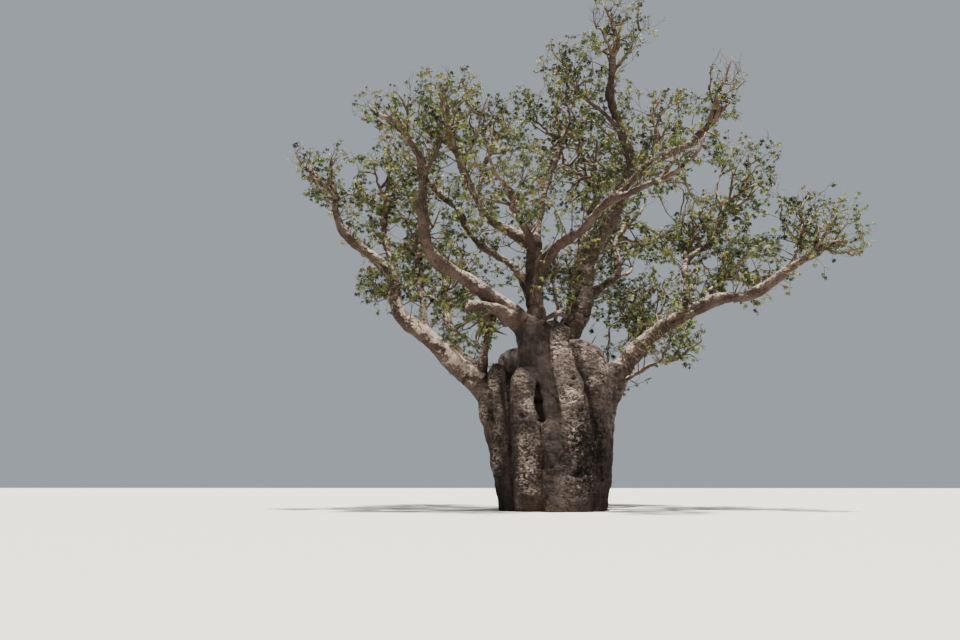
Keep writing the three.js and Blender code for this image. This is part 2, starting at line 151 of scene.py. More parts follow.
# Foliage, as the solids have it
TWIGS_PER_MASS = 7
TRIES_PER_TWIG = 12
TWIG_TIP = 0.028
TWIG_REACH = (0.16, 0.55)
TURN_COST = 0.6
PATH_COST = 0.15
TESTED_SHARES = (0.35, 0.6, 0.85)
IN_SPACE_FROM = 0.5
SPACE_MARGIN = 0.012
LIMB_CLEARANCE = 0.07
CLEARANCE_POINTS = 40
SCATTER_STEPS = (0.8191725134, 0.6710436067, 0.5497004779)
MASS_STRIDE = 977

# Finer twigs: between which shares of a mass's reach they end, and how many for each square of that reach
FINE_REACH = (0.2, 0.97)
FINE_COUNT = 78
FINE_STRIDE = 5000
FINE_TRIES = 3
FINE_SLACK = 0.02
FINE_CLEARANCE = 0.02
# Each mass's share of those twigs, and the share of its last twigs that are bare
THICKNESS = {"left_low": (0.75, 0.4), "left_inner": (0.95, 0.2), "left_pale": (1.0, 0.2),
             "left_droop": (0.9, 0.15), "left_spur": (0.85, 0.15), "left_mid": (0.7, 0.45),
             "left_mid_fork": (0.65, 0.3), "left_back": (0.6, 0.25), "centre_left": (0.6, 0.35),
             "centre_left_fork": (0.6, 0.25), "centre_up": (0.65, 0.25), "centre_front": (0.75, 0.15),
             "centre_right": (0.7, 0.75), "centre_right_fork": (0.65, 0.4), "centre_right_low": (0.6, 0.3),
             "tall": (0.7, 0.6), "tall_side": (0.7, 0.4), "right_low": (0.65, 0.25),
             "right_tip_fork": (0.6, 0.3), "right_riser": (0.6, 0.3), "right_riser_fork": (0.95, 0.15),
             "right_top": (1.3, 0.1), "right_droop": (0.5, 0.15), "right_back": (0.75, 0.15),
             "back": (0.95, 0.15), "back_low_left": (0.9, 0.15), "back_low_right": (1.25, 0.12)}
FINE_TIP = 0.006
LEAST_LOAD = 14
THINNING = 0.62
# The thickest that a twig may be where it leaves a branch, and where twiglets still grow on it
TWIG_ON_BRANCH = 0.035
CROOKED = 0.08
ROUND_TWIG = 0.03

# Branches, sprigs and twiglets
KNOT_SPACING = 0.16
BRANCH_SPACING = 0.13
BRANCH_SIDES = 8
BRANCH_WOBBLE = 0.016
BRANCH_UNEVEN = (0.92, 1.12)
BRANCH_TWIGLETS = 0.7
SPRIG_RADII = (0.018, 0.013, 0.007)
SPRIG_SPACING = 0.16
SPRIG_REACH = (0.25, 0.95)
SPRIG_TWIGLETS = 0.16
SLIGHTLY_UP = Vector((0, 0, 0.3))
# The share of the sprigs at a bough's underside that stand up instead
TURNED_UP = 0.6
SPRIGS_FROM = {"centre": 0.25, "tall": 0.12}
SPRIGS_FROM_TRUNK = 0.34
SPRIGS_FROM_BOUGH = 0.12
THICKET_FROM = 0.3
THICKET_SPACING = 0.09
THICKET_REACH = (0.15, 0.5)
TWIGLET_RADII = (0.0065, 0.005, 0.003)
TWIGLET_REACH = (0.16, 0.42)
TWIGLETS_PER_TIP = (1, 4)
TWIGLET_SPACING = 0.2
# How far a twiglet strays from its twig's way and how much it rises, at its foot and at its middle
TWIGLET_TURN = (0.55, 0.42)
TWIGLET_BEND = (0.3, 0.25)
LEAFY_FROM = 0.35
BARE_SHARE = 0.14

# Leaves: the stalk's size and place are in shares of the leaf's length
LEAF_LENGTH = 0.085
STALK_SIZE = (0.05, 0.56)
STALK_MIDDLE = (0.24, 0.02)
STALK_END = 0.5
MIDDLE_LEAFLET = 1.12
OUTER_SHORTER = 0.42
LEAFLET_WIDTHS = (0.31, 0.24)
RIB_DEPTH = 0.07
LEAF_SIZES = (0.75, 1.25)
# How far a leaf turns aside, sinks and rolls, in radians
LEAF_YAW = 0.4
LEAF_SINK = (0.1, 0.9)
LEAF_ROLL = 0.45
LEAVES_PER_TWIGLET = (2, 7)
# The share of the leaves that may hide an open bough, and how far to each side of its line, in pixels, the
# others at least stay off it
HIDING_SHARE = 0.3
LEAST_OPEN = 4.5
# How far twigs may reach past the solids' box
BOX_SPARE = 0.14

# The stems that make up the trunk: the places of the foot, the belly and the head, and the radius at each
STEMS = {
    "core": ([(-0.05, 0, -0.1), (-0.08, 0, 2.3), (-0.26, -0.12, 4.56)], (1.05, 1.18, 0.52)),
    "left_flank": ([(-0.86, -0.24, -0.1), (-1.14, -0.28, 1.4), (-1.54, -0.28, 3.25)], (0.48, 0.48, 0.47)),
    "left_fold": ([(-0.83, -0.64, -0.1), (-1.02, -0.74, 1.5), (-1.4, -0.7, 3.64)], (0.35, 0.34, 0.24)),
    "left_shoulder": ([(-0.7, 0.15, -0.1), (-0.9, 0.15, 2.0), (-0.94, 0.06, 4.21)], (0.52, 0.56, 0.41)),
    "front_left": ([(-0.56, -0.88, -0.1), (-0.6, -1.04, 1.7), (-0.6, -0.98, 3.54)], (0.42, 0.44, 0.43)),
    "front_column": ([(0.01, -1.23, -0.1), (-0.04, -1.29, 1.7), (-0.43, -0.78, 4.66)], (0.33, 0.25, 0.42)),
    "neck": ([(-0.1, -1.1, 2.6), (-0.38, -0.88, 3.5), (-0.42, -0.75, 4.85)], (0.20, 0.43, 0.43)),
    "saddle": ([(0.1, 0.1, 3.0), (0.15, 0.15, 4.0), (0.26, 0.24, 4.86)], (0.60, 0.50, 0.38)),
    "right_front": ([(0.4, -0.8, -0.1), (0.48, -0.86, 1.9), (-0.02, -0.5, 4.75)], (0.56, 0.60, 0.28)),
    "right_finger": ([(0.89, -0.7, -0.1), (1.05, -0.82, 1.7), (1.03, -0.83, 3.22)], (0.30, 0.31, 0.27)),
    "right_lobe": ([(0.6, -0.05, -0.1), (0.72, -0.1, 1.9), (0.58, -0.08, 4.36)], (0.72, 0.84, 0.86)),
    "right_flank": ([(0.74, 0.42, -0.1), (0.98, 0.46, 1.6), (1.33, 0.28, 3.25)], (0.53, 0.52, 0.47)),
    "back": ([(0.16, 0.84, -0.1), (0.26, 1.0, 1.9), (0.64, 0.76, 4.38)], (0.70, 0.74, 0.48)),
    "back_left": ([(-0.5, 0.8, -0.1), (-0.64, 0.95, 1.9), (-0.56, 0.62, 4.15)], (0.60, 0.64, 0.50)),
    "left_back": ([(-0.88, 0.33, -0.1), (-1.18, 0.44, 1.5), (-1.33, 0.42, 3.3)], (0.48, 0.48, 0.43)),
}

# Folds pressed into the trunk, and ridges raised where the depth is below nothing: places, radius and depth
CARVING = [
    ([(-0.44, -1.28, 3.3), (-0.4, -1.3, 3.15), (-0.36, -1.33, 3.0)], 0.045, 0.12),
    ([(-0.35, -1.35, 3.0), (-0.34, -1.37, 2.64)], 0.045, 0.16),
    ([(-0.33, -1.38, 2.6), (-0.3, -1.4, 2.34), (-0.27, -1.42, 2.16)], 0.09, 0.17),
    ([(-0.28, -1.42, 2.13), (-0.1, -1.42, 2.15)], 0.05, 0.1),
    ([(-0.06, -0.6, 4.66), (0.2, -0.5, 4.6), (0.5, -0.35, 4.4)], 0.07, 0.1),
    ([(-1.55, -0.76, 2.45), (-1.5, -0.8, 2.25), (-1.4, -0.9, 1.95), (-1.34, -0.95, 1.7)], 0.07, 0.16),
    ([(-1.56, -0.82, 2.95), (-1.52, -0.78, 2.4)], 0.05, 0.07),
    ([(-1.21, -1.01, 3.2), (-1.19, -1.04, 2.69), (-1.15, -1.06, 2.3), (-1.08, -1.15, 1.4)], 0.06, 0.07),
    ([(-0.98, -1.29, 2.1), (-0.75, -1.43, 2.06), (-0.5, -1.41, 2.03)], 0.045, 0.05),
    ([(-0.76, -1.43, 2.3), (-0.66, -1.43, 2.26)], 0.07, 0.12),
    ([(-0.17, -1.39, 3.25), (-0.14, -1.41, 3.06), (-0.05, -1.41, 2.88), (0.07, -1.35, 2.76),
      (0.16, -1.28, 2.67)], 0.035, -0.045),
    ([(-0.05, -0.96, 4.54), (0.02, -1.05, 3.97), (0.08, -1.08, 3.63), (0.14, -1.18, 3.12),
      (0.16, -1.25, 2.78)], 0.05, -0.06),
    ([(0.1, -0.83, 4.47), (0.29, -0.9, 4.29), (0.5, -0.92, 4.03), (0.74, -0.8, 3.74), (0.89, -0.85, 3.42)],
      0.045, -0.10),
    ([(0.28, -0.75, 4.5), (0.5, -0.8, 4.25), (0.72, -0.75, 3.98), (0.92, -0.78, 3.66)], 0.045, 0.09),
    ([(0.87, -1.01, 3.16), (1.05, -1.09, 3.15), (1.19, -1.08, 2.96), (1.27, -1.04, 2.66),
      (1.33, -0.98, 2.36)], 0.045, -0.07),
    ([(0.86, -1.04, 3.1), (0.83, -1.18, 2.77), (0.84, -1.26, 2.52)], 0.05, 0.14),
    ([(0.68, -1.38, 2.39), (0.9, -1.25, 2.42), (1.03, -1.18, 2.25), (0.98, -1.26, 2.02)], 0.06, 0.09),
    ([(0.76, -0.61, 4.18), (1.16, -0.6, 3.98), (1.42, -0.5, 3.6), (1.5, -0.45, 3.2), (1.52, -0.35, 2.8)],
      0.05, -0.05),
    ([(0.56, -1.22, 3.17)], 0.045, 0.07),
    ([(0.48, -1.28, 2.98)], 0.04, 0.07),
    ([(0.51, -1.36, 2.63)], 0.045, 0.07),
    ([(-0.04, -1.57, 1.05)], 0.04, 0.07),
    ([(0.19, -1.53, 0.7)], 0.035, 0.07),
    ([(-0.8, -1.34, 0.36), (-0.45, -1.36, 0.33), (-0.24, -1.42, 0.33)], 0.08, 0.12),
    ([(-0.78, -1.3, 0.2), (-0.45, -1.32, 0.18), (-0.26, -1.38, 0.18)], 0.10, 0.09),
    ([(-0.74, -1.26, 0.02), (-0.45, -1.28, 0.02), (-0.28, -1.34, 0.02)], 0.10, 0.08),
    ([(0.52, -1.53, 0.91), (0.7, -1.5, 0.95)], 0.13, 0.2),
    ([(1.17, -1.05, 1.02), (1.18, -1.02, 0.73)], 0.04, 0.08),
    ([(1.41, -0.69, 2.39), (1.41, -0.72, 2.08)], 0.04, 0.07),
    ([(1.36, -0.85, 2.9), (1.42, -0.8, 1.9), (1.3, -0.85, 0.8)], 0.07, 0.05),
]
# Where the bark is most rugged: the middle in front, and how far that reaches to the side and upwards
RUGGED = [((-0.68, 1.25), (0.42, 0.85)), ((0.72, 1.3), (0.5, 1.0)), ((-1.3, 1.2), (0.2, 0.7))]
# The smooth column in front: its height, and how far to the left and right it reaches there
COLUMN = ((0, 0.6, 2.0, 2.65, 3.1, 3.35, 3.6, 4.1, 5),
          (-0.18, -0.21, -0.27, -0.30, -0.42, -0.6, -0.95, -1.0, -1),
          (0.3, 0.3, 0.26, 0.2, 0.13, 0.08, 0.02, 0.0, 0.1))
# Where the wrinkles are palest, pale bark with painted sunlight on the lobes: the middle in front, and how
# far that reaches to the side and upwards
PALE_PATCHES = [((0.18, 4.1), (0.36, 0.6)), ((0.72, 3.95), (0.55, 0.35)), ((1.2, 3.55), (0.32, 0.45)),
                ((-0.78, 3.15), (0.3, 0.42)), ((-0.56, 2.5), (0.22, 0.25)), ((-0.68, 1.25), (0.4, 0.9)),
                ((-0.5, 0.5), (0.26, 0.16)), ((-1.5, 3.0), (0.22, 0.42)), ((-1.8, 2.5), (0.16, 0.35)),
                ((-1.38, 2.05), (0.12, 0.42)), ((-1.4, 1.2), (0.18, 0.45)), ((0.4, 2.7), (0.42, 0.32)),
                ((0.32, 2.25), (0.2, 0.22)), ((1.05, 3.1), (0.24, 0.2)), ((0.5, 1.75), (0.3, 0.45))]

# Where the bark is dark and dull: the middle in front, and how far that reaches to the side and upwards
DULL_PATCHES = [((0.05, 1.2), (0.36, 1.15)), ((-1.3, 0.35), (0.3, 0.5)), ((-0.97, 1.3), (0.12, 1.0)),
                ((1.25, 0.9), (0.3, 0.9)), ((0.6, 0.1), (0.7, 0.3)), ((-0.75, 1.95), (0.3, 0.2)),
                ((-1.15, 0.7), (0.2, 0.8))]

# Each bough: the bends that it passes through, its radius at foot and tip, its foliage's middle and reach
BOUGHS = {
    "left_low": ([(-1.25, -0.27, 2.75), (-2.31, -0.4, 3.54), (-3.11, -0.6, 4.37), (-3.85, -0.83, 4.93),
                  (-4.03, -0.92, 5.39), (-4.08, -1.0, 5.85), (-4.62, -1.1, 6.46), (-5.37, -1.2, 7.23),
                  (-5.62, -1.3, 8.0)], 0.50, 0.095, (-6.12, -1.3, 8.85), 1.05),
    "left_inner": ([(-3.23, -0.66, 4.45), (-3.38, -0.5, 5.4), (-3.64, 0, 6.65)], 0.15, 0.075,
                    (-3.8, 0.5, 7.8), 1.45),
    "left_pale": ([(-4.08, -1.0, 5.85), (-4.27, -0.8, 6.6), (-4.52, -0.35, 7.8)], 0.12, 0.075,
                   (-4.85, -0.3, 8.8), 1.25),
    "left_droop": ([(-3.85, -0.82, 4.95), (-4.02, -1.15, 5.23), (-4.18, -1.5, 5.33)], 0.09, 0.05,
                    (-4.4, -1.95, 5.35), 0.75),
    "left_spur": ([(-1.88, -0.38, 3.5), (-1.66, -0.65, 4.24), (-1.5, -0.9, 4.65)], 0.22, 0.10,
                   (-1.95, -1.3, 4.65), 0.85),
    "left_mid": ([(-0.42, -0.8, 4.35), (-1.14, -1.1, 5.01), (-1.75, -1.4, 5.42), (-2.34, -1.7, 5.84),
                  (-2.83, -2.0, 6.23), (-3.03, -2.3, 6.78), (-3.11, -2.5, 7.36), (-3.01, -2.6, 8.15),
                  (-3.35, -2.85, 8.85)], 0.39, 0.095, (-3.8, -3.15, 9.45), 0.95),
    "left_mid_fork": ([(-3.14, -2.58, 7.9), (-2.78, -2.78, 8.45), (-2.56, -2.95, 8.85)], 0.09, 0.06,
                       (-2.45, -3.1, 9.65), 0.95),
    "centre": ([(-0.43, -0.78, 4.4), (-0.39, -0.64, 5.32), (-0.37, -0.52, 6.16), (-0.44, -0.5, 7.05)], 0.34,
                0.25, None, 0),
    "left_back": ([(-0.4, -0.3, 5.5), (-0.91, 0.2, 6.33), (-1.37, 0.5, 6.89), (-2.07, 0.8, 7.43),
                   (-2.58, 1.1, 8.47), (-3.6, 1.48, 9.6)], 0.18, 0.095, (-4.3, 1.6, 10.25), 1.35),
    "centre_left": ([(-0.45, -0.5, 6.9), (-1.16, -0.5, 7.36), (-1.64, -0.5, 7.69), (-1.93, -0.6, 8.29),
                     (-2.25, -0.7, 8.98), (-2.48, -0.82, 9.55)], 0.22, 0.105, (-2.64, -0.9, 10.7), 1.25),
    "centre_left_fork": ([(-1.95, -0.6, 8.3), (-1.85, -0.25, 8.9), (-1.7, 0.05, 9.6)], 0.105, 0.07,
                          (-1.45, 0.6, 10.75), 1.4),
    "centre_up": ([(-0.44, -0.48, 6.95), (-0.19, 0, 8.17), (0.08, 0.4, 9.22), (0.35, 0.9, 10.4)], 0.18, 0.09,
                   (0.15, 1.35, 11.5), 1.55),
    "centre_front": ([(-0.44, -0.52, 6.8), (-0.56, -1.3, 6.95), (-0.83, -2.4, 7.15)], 0.17, 0.085,
                      (-1.0, -3.05, 7.6), 1.35),
    "centre_right": ([(-0.37, -0.52, 6.05), (0.19, -0.9, 6.71), (0.9, -1.4, 6.94), (1.35, -1.9, 7.3),
                      (1.65, -2.2, 7.48), (2.13, -2.4, 7.87), (2.69, -2.6, 8.24), (3.37, -2.8, 8.48),
                      (3.85, -2.95, 8.9)], 0.225, 0.085, (4.12, -3.05, 9.72), 0.88),
    "centre_right_fork": ([(2.3, -2.46, 8.0), (2.48, -2.5, 8.35), (2.6, -2.5, 8.6)], 0.095, 0.065,
                           (2.8, -2.45, 9.5), 1.15),
    "centre_right_low": ([(1.6, -2.15, 7.45), (2.05, -2.7, 7.42), (2.48, -3.2, 7.38)], 0.14, 0.075,
                          (3.15, -3.85, 7.5), 1.05),
    "tall": ([(0.2, 0.45, 3.9), (0.48, 0.62, 4.6), (0.88, 0.9, 5.5), (1.0, 1.08, 6.3), (1.23, 1.1, 7.12),
              (1.64, 1.0, 7.79), (2.12, 0.9, 8.74), (2.4, 0.8, 9.7), (2.08, 0.6, 10.61), (1.88, 0.4, 11.62),
              (1.93, 0.2, 12.55)], 0.48, 0.10, (2.05, 0.1, 13.7), 1.3),
    "tall_side": ([(2.15, 0.64, 10.45), (1.55, 0.22, 10.95), (1.18, -0.2, 11.15)], 0.115, 0.065,
                   (0.74, -0.6, 11.85), 1.08),
    "right_low": ([(1.3, 0.3, 2.9), (2.18, 0.2, 4.02), (2.85, 0, 4.59), (3.66, -0.2, 5.03),
                   (4.42, -0.3, 5.34), (5.1, -0.4, 5.4), (5.56, -0.5, 5.65), (6.09, -0.6, 6.03),
                   (6.48, -0.72, 6.23)], 0.45, 0.10, (7.1, -1.15, 6.65), 0.95),
    "right_tip_fork": ([(6.15, -0.64, 6.02), (6.35, -0.35, 6.55), (6.48, -0.2, 6.85)], 0.095, 0.065,
                        (6.75, 0.2, 7.75), 1.1),
    "right_riser": ([(3.56, -0.18, 4.98), (3.6, 0.1, 5.73), (3.75, 0.45, 6.57), (4.49, 0.8, 7.24),
                     (4.89, 1.0, 8.07)], 0.17, 0.085, (5.65, 1.4, 9.25), 1.4),
    "right_riser_fork": ([(3.72, 0.42, 6.5), (3.76, 0.68, 6.95)], 0.10, 0.07, (3.85, 1.0, 7.95), 1.4),
    "right_top": ([(4.0, -0.24, 5.18), (4.13, -0.06, 5.6), (4.42, 0.08, 5.85)], 0.095, 0.06,
                   (5.15, 0.3, 6.45), 1.15),
    "right_droop": ([(1.75, 0.1, 3.12), (2.28, -0.1, 3.5), (2.64, -0.3, 3.67), (2.9, -0.45, 3.69)], 0.12,
                     0.05, (3.3, -0.8, 4.05), 0.75),
    "right_back": ([(0.8, 1.0, 5.2), (1.05, 1.3, 5.85), (1.53, 1.6, 6.2), (1.97, 1.85, 6.6), (2.06, 2.1, 7.1),
                    (2.0, 2.4, 7.7), (2.3, 2.9, 8.4)], 0.27, 0.09, (2.6, 4.05, 8.5), 1.7),
    "back": ([(0.65, 0.9, 5.3), (0.8, 2.0, 6.9), (1.6, 3.8, 9.9)], 0.26, 0.12, (1.6, 4.4, 11.2), 1.9),
    "back_low_left": ([(-0.7, 0.7, 3.1), (-1.7, 1.3, 3.55), (-2.6, 2.0, 4.35), (-3.2, 3.0, 5.8)], 0.33, 0.12,
                       (-3.35, 3.5, 6.95), 1.8),
    "back_low_right": ([(0.8, 0.8, 3.0), (1.9, 1.5, 3.75), (2.7, 2.7, 4.6), (2.9, 3.3, 5.2)], 0.30, 0.11,
                        (2.9, 4.0, 6.1), 1.65),
}
STUMP = ([(-1.0, -1.12, 4.72), (-1.32, -1.4, 4.89), (-2.04, -1.75, 4.96)], 0.27, 0.145)
COLLAR = ([(-0.5, -1.0, 4.3), (-0.3, -1.12, 4.55), (-0.12, -1.1, 4.68), (0.08, -0.97, 4.84),
           (0.28, -0.82, 4.9), (0.42, -0.66, 4.8)], 0.095, 0.06)
BODY_SHARE = 0.55
FLARE_POWER = 7

# Where a bough runs on as branches through its foliage: the bends, and the radius at foot and tip
BRANCHES = {
    "left_low": [([(-5.62, -1.3, 8.0), (-5.68, -1.3, 8.29), (-6.08, -1.4, 8.61), (-6.51, -1.5, 8.99)], 0.09,
                   0.035),
                 ([(-5.64, -1.28, 8.15), (-5.87, -1.0, 9.1), (-5.98, -0.8, 9.6)], 0.06, 0.025)],
    "left_inner": [([(-3.64, 0, 6.65), (-3.77, 0.3, 7.37), (-3.68, 0.5, 8.0), (-3.95, 0.75, 8.8)], 0.072,
                     0.025),
                   ([(-3.74, 0.2, 7.15), (-3.3, 0.4, 7.7), (-3.05, 0.5, 8.5)], 0.045, 0.02)],
    "left_pale": [([(-4.52, -0.35, 7.8), (-4.38, -0.25, 8.25), (-4.7, -0.3, 8.8), (-4.9, -0.3, 9.6)], 0.07,
                    0.025),
                  ([(-4.44, -0.28, 8.0), (-5.0, -0.5, 8.3), (-5.35, -0.6, 8.9)], 0.045, 0.02)],
    "left_droop": [([(-4.18, -1.5, 5.33), (-4.45, -1.9, 5.5), (-4.65, -2.1, 5.42)], 0.045, 0.015)],
    "left_spur": [([(-1.5, -0.9, 4.65), (-1.6, -1.15, 4.75), (-1.95, -1.3, 4.7), (-2.35, -1.4, 4.4)], 0.075,
                    0.022),
                  ([(-1.55, -0.82, 4.5), (-1.3, -1.0, 4.4), (-1.1, -1.15, 4.3)], 0.04, 0.018)],
    "left_mid": [([(-3.35, -2.85, 8.85), (-3.55, -3.0, 9.2), (-4.0, -3.2, 9.36), (-4.3, -3.3, 9.62)], 0.095,
                   0.04),
                 ([(-3.42, -2.9, 9.0), (-3.4, -2.95, 9.6), (-3.65, -3.0, 10.1)], 0.06, 0.025)],
    "left_mid_fork": [([(-2.56, -2.95, 8.85), (-2.38, -3.1, 9.15), (-2.5, -3.1, 9.75), (-2.3, -3.15, 10.3)],
                        0.058, 0.025)],
    "left_back": [([(-3.6, 1.48, 9.6), (-3.9, 1.5, 9.95), (-4.35, 1.6, 10.5), (-4.8, 1.7, 11.0)], 0.09, 0.03),
                  ([(-3.75, 1.5, 9.8), (-3.6, 1.7, 10.5), (-3.85, 1.7, 11.2)], 0.06, 0.025)],
    "centre_left": [([(-2.48, -0.82, 9.55), (-2.81, -0.9, 9.8), (-3.14, -1.2, 9.95), (-3.4, -1.4, 10.4)],
                      0.09, 0.035),
                    ([(-2.52, -0.8, 9.62), (-2.74, -0.3, 10.5), (-2.7, 0.05, 11.4)], 0.075, 0.03),
                    ([(-2.3, -0.72, 9.1), (-1.95, -0.9, 9.7), (-1.75, -1.0, 10.4)], 0.06, 0.025)],
    "centre_left_fork": [([(-1.7, 0.05, 9.6), (-1.52, 0.3, 10.2), (-1.6, 0.6, 10.8), (-1.3, 0.8, 11.6)],
                           0.068, 0.028)],
    "centre_up": [([(0.35, 0.9, 10.4), (0.5, 1.0, 10.8), (0.3, 1.3, 11.5), (0.45, 1.5, 12.5)], 0.085, 0.03),
                  ([(0.4, 0.93, 10.6), (-0.15, 1.1, 11.1), (-0.45, 1.2, 11.9)], 0.06, 0.025),
                  ([(0.42, 0.95, 10.65), (0.85, 1.1, 10.9), (1.2, 1.2, 11.3)], 0.065, 0.028)],
    "centre_front": [([(-0.83, -2.4, 7.15), (-0.9, -2.8, 7.5), (-1.25, -3.2, 7.8), (-1.4, -3.4, 8.4)], 0.08,
                       0.03)],
    "centre_right": [([(3.85, -2.95, 8.9), (3.91, -3.0, 9.25), (4.05, -3.0, 9.62), (4.2, -3.0, 9.95),
                       (4.45, -3.0, 10.6)], 0.075, 0.022),
                     ([(3.92, -3.0, 9.3), (3.84, -3.05, 9.8), (3.93, -3.1, 10.35)], 0.03, 0.012),
                     ([(3.98, -3.0, 9.5), (4.35, -2.95, 9.7), (4.6, -2.9, 10.15)], 0.03, 0.012)],
    "centre_right_fork": [([(2.6, -2.5, 8.6), (2.7, -2.5, 8.95), (2.6, -2.45, 9.5), (2.95, -2.4, 10.1)],
                            0.062, 0.025)],
    "centre_right_low": [([(2.48, -3.2, 7.38), (2.9, -3.6, 7.48), (3.3, -3.9, 7.8), (3.5, -3.95, 8.2)], 0.072,
                           0.028)],
    "tall": [([(1.93, 0.2, 12.55), (2.1, 0.15, 13.1), (1.95, 0.1, 13.8), (1.75, 0.15, 14.4)], 0.095, 0.035),
             ([(1.9, 0.3, 12.2), (2.4, 0.1, 12.8), (2.75, 0.05, 13.4)], 0.06, 0.025)],
    "tall_side": [([(1.18, -0.2, 11.15), (0.8, -0.45, 11.45), (0.5, -0.7, 12.0), (0.15, -0.8, 12.4)], 0.062,
                    0.028)],
    "right_low": [([(6.48, -0.72, 6.23), (6.7, -0.85, 6.3), (7.0, -1.0, 6.5), (7.4, -1.2, 6.45)], 0.10, 0.04),
                  ([(6.6, -0.78, 6.26), (6.9, -1.2, 6.8), (7.2, -1.4, 7.2)], 0.06, 0.025)],
    "right_tip_fork": [([(6.48, -0.2, 6.85), (6.8, 0, 7.2), (6.75, 0.2, 7.8), (7.05, 0.3, 8.3)], 0.065,
                         0.028)],
    "right_riser": [([(4.89, 1.0, 8.07), (5.1, 1.1, 8.5), (5.6, 1.3, 8.95), (5.85, 1.5, 9.8)], 0.08, 0.03),
                    ([(4.95, 1.03, 8.2), (4.85, 1.3, 8.9), (5.1, 1.5, 9.7)], 0.06, 0.025)],
    "right_riser_fork": [([(3.76, 0.68, 6.95), (3.98, 0.8, 7.3), (3.8, 1.0, 7.9), (4.0, 1.1, 8.7)], 0.068,
                           0.028)],
    "right_top": [([(4.42, 0.08, 5.85), (4.8, 0.2, 6.1), (5.2, 0.3, 6.6), (5.5, 0.3, 7.2)], 0.058, 0.024)],
    "right_droop": [([(2.9, -0.45, 3.69), (3.2, -0.65, 3.75), (3.5, -0.85, 4.0), (3.7, -0.95, 4.1)], 0.05,
                      0.02),
                    ([(2.75, -0.37, 3.67), (2.9, -0.7, 4.0), (3.1, -0.9, 4.4)], 0.035, 0.018),
                    ([(1.45, 0.28, 3.6), (1.5, 0.3, 4.05), (1.53, 0.3, 4.35), (1.57, 0.3, 4.67),
                      (1.67, 0.3, 4.98)], 0.05, 0.022),
                    ([(1.0, -0.3, 4.0), (1.06, -0.3, 4.2), (1.2, -0.3, 4.5)], 0.025, 0.012)],
    "right_back": [([(2.3, 2.9, 8.4), (2.6, 3.15, 8.75), (2.9, 3.4, 9.1), (3.2, 3.8, 9.7)], 0.085, 0.03),
                   ([(2.03, 2.3, 7.5), (1.75, 2.9, 8.0), (1.5, 3.6, 8.7), (1.6, 4.3, 9.3)], 0.07, 0.025),
                   ([(2.15, 2.7, 8.1), (2.6, 3.5, 8.2), (3.1, 4.2, 8.3), (3.6, 4.6, 8.6)], 0.06, 0.025),
                   ([(1.97, 1.85, 6.6), (2.4, 2.6, 6.9), (2.6, 3.6, 7.4), (2.3, 4.6, 7.8)], 0.06, 0.025)],
    "back": [([(1.6, 3.8, 9.9), (1.8, 4.1, 10.5), (1.5, 4.4, 11.3), (1.8, 4.6, 12.3)], 0.11, 0.03),
             ([(1.7, 3.95, 10.2), (1.0, 4.2, 10.9), (0.6, 4.5, 11.6)], 0.07, 0.025),
             ([(1.78, 4.05, 10.4), (2.4, 4.2, 10.9), (2.7, 4.4, 11.6)], 0.07, 0.025)],
    "back_low_left": [([(-3.2, 3.0, 5.8), (-3.3, 3.2, 6.3), (-3.35, 3.5, 7.0), (-3.8, 3.8, 7.8)], 0.11, 0.03),
                      ([(-3.3, 3.2, 6.25), (-2.7, 3.6, 6.8), (-2.7, 3.9, 7.6)], 0.07, 0.025),
                      ([(-3.25, 3.1, 6.1), (-3.8, 3.2, 6.5), (-4.3, 3.4, 7.2)], 0.07, 0.025)],
    "back_low_right": [([(2.9, 3.3, 5.2), (2.85, 3.6, 5.6), (2.9, 4.0, 6.2), (3.3, 4.3, 6.9)], 0.10, 0.03),
                       ([(2.85, 3.55, 5.5), (2.3, 4.1, 6.0), (2.3, 4.5, 6.8)], 0.065, 0.025),
                       ([(2.88, 3.45, 5.4), (3.4, 3.6, 5.9), (3.8, 3.8, 6.5)], 0.06, 0.025)],
}

# Small leafy branches between the centre bough and the tall one
THICKET = [([(0.1, -0.1, 4.7), (0.2, -0.15, 5.2), (0.1, -0.2, 5.8), (0.3, -0.2, 6.4)], 0.06, 0.02),
           ([(-0.35, -0.6, 5.6), (-0.05, -0.4, 5.9), (0.15, -0.3, 6.3)], 0.04, 0.015),
           ([(0.8, 0.75, 5.4), (0.6, 0.4, 5.8), (0.65, 0.2, 6.5)], 0.05, 0.02),
           ([(0.35, 0.1, 4.9), (0.55, 0.0, 5.3), (0.6, -0.1, 5.7)], 0.04, 0.015),
           ([(0.95, 0.9, 5.9), (0.6, 0.6, 6.3), (0.45, 0.5, 6.9)], 0.05, 0.02)]

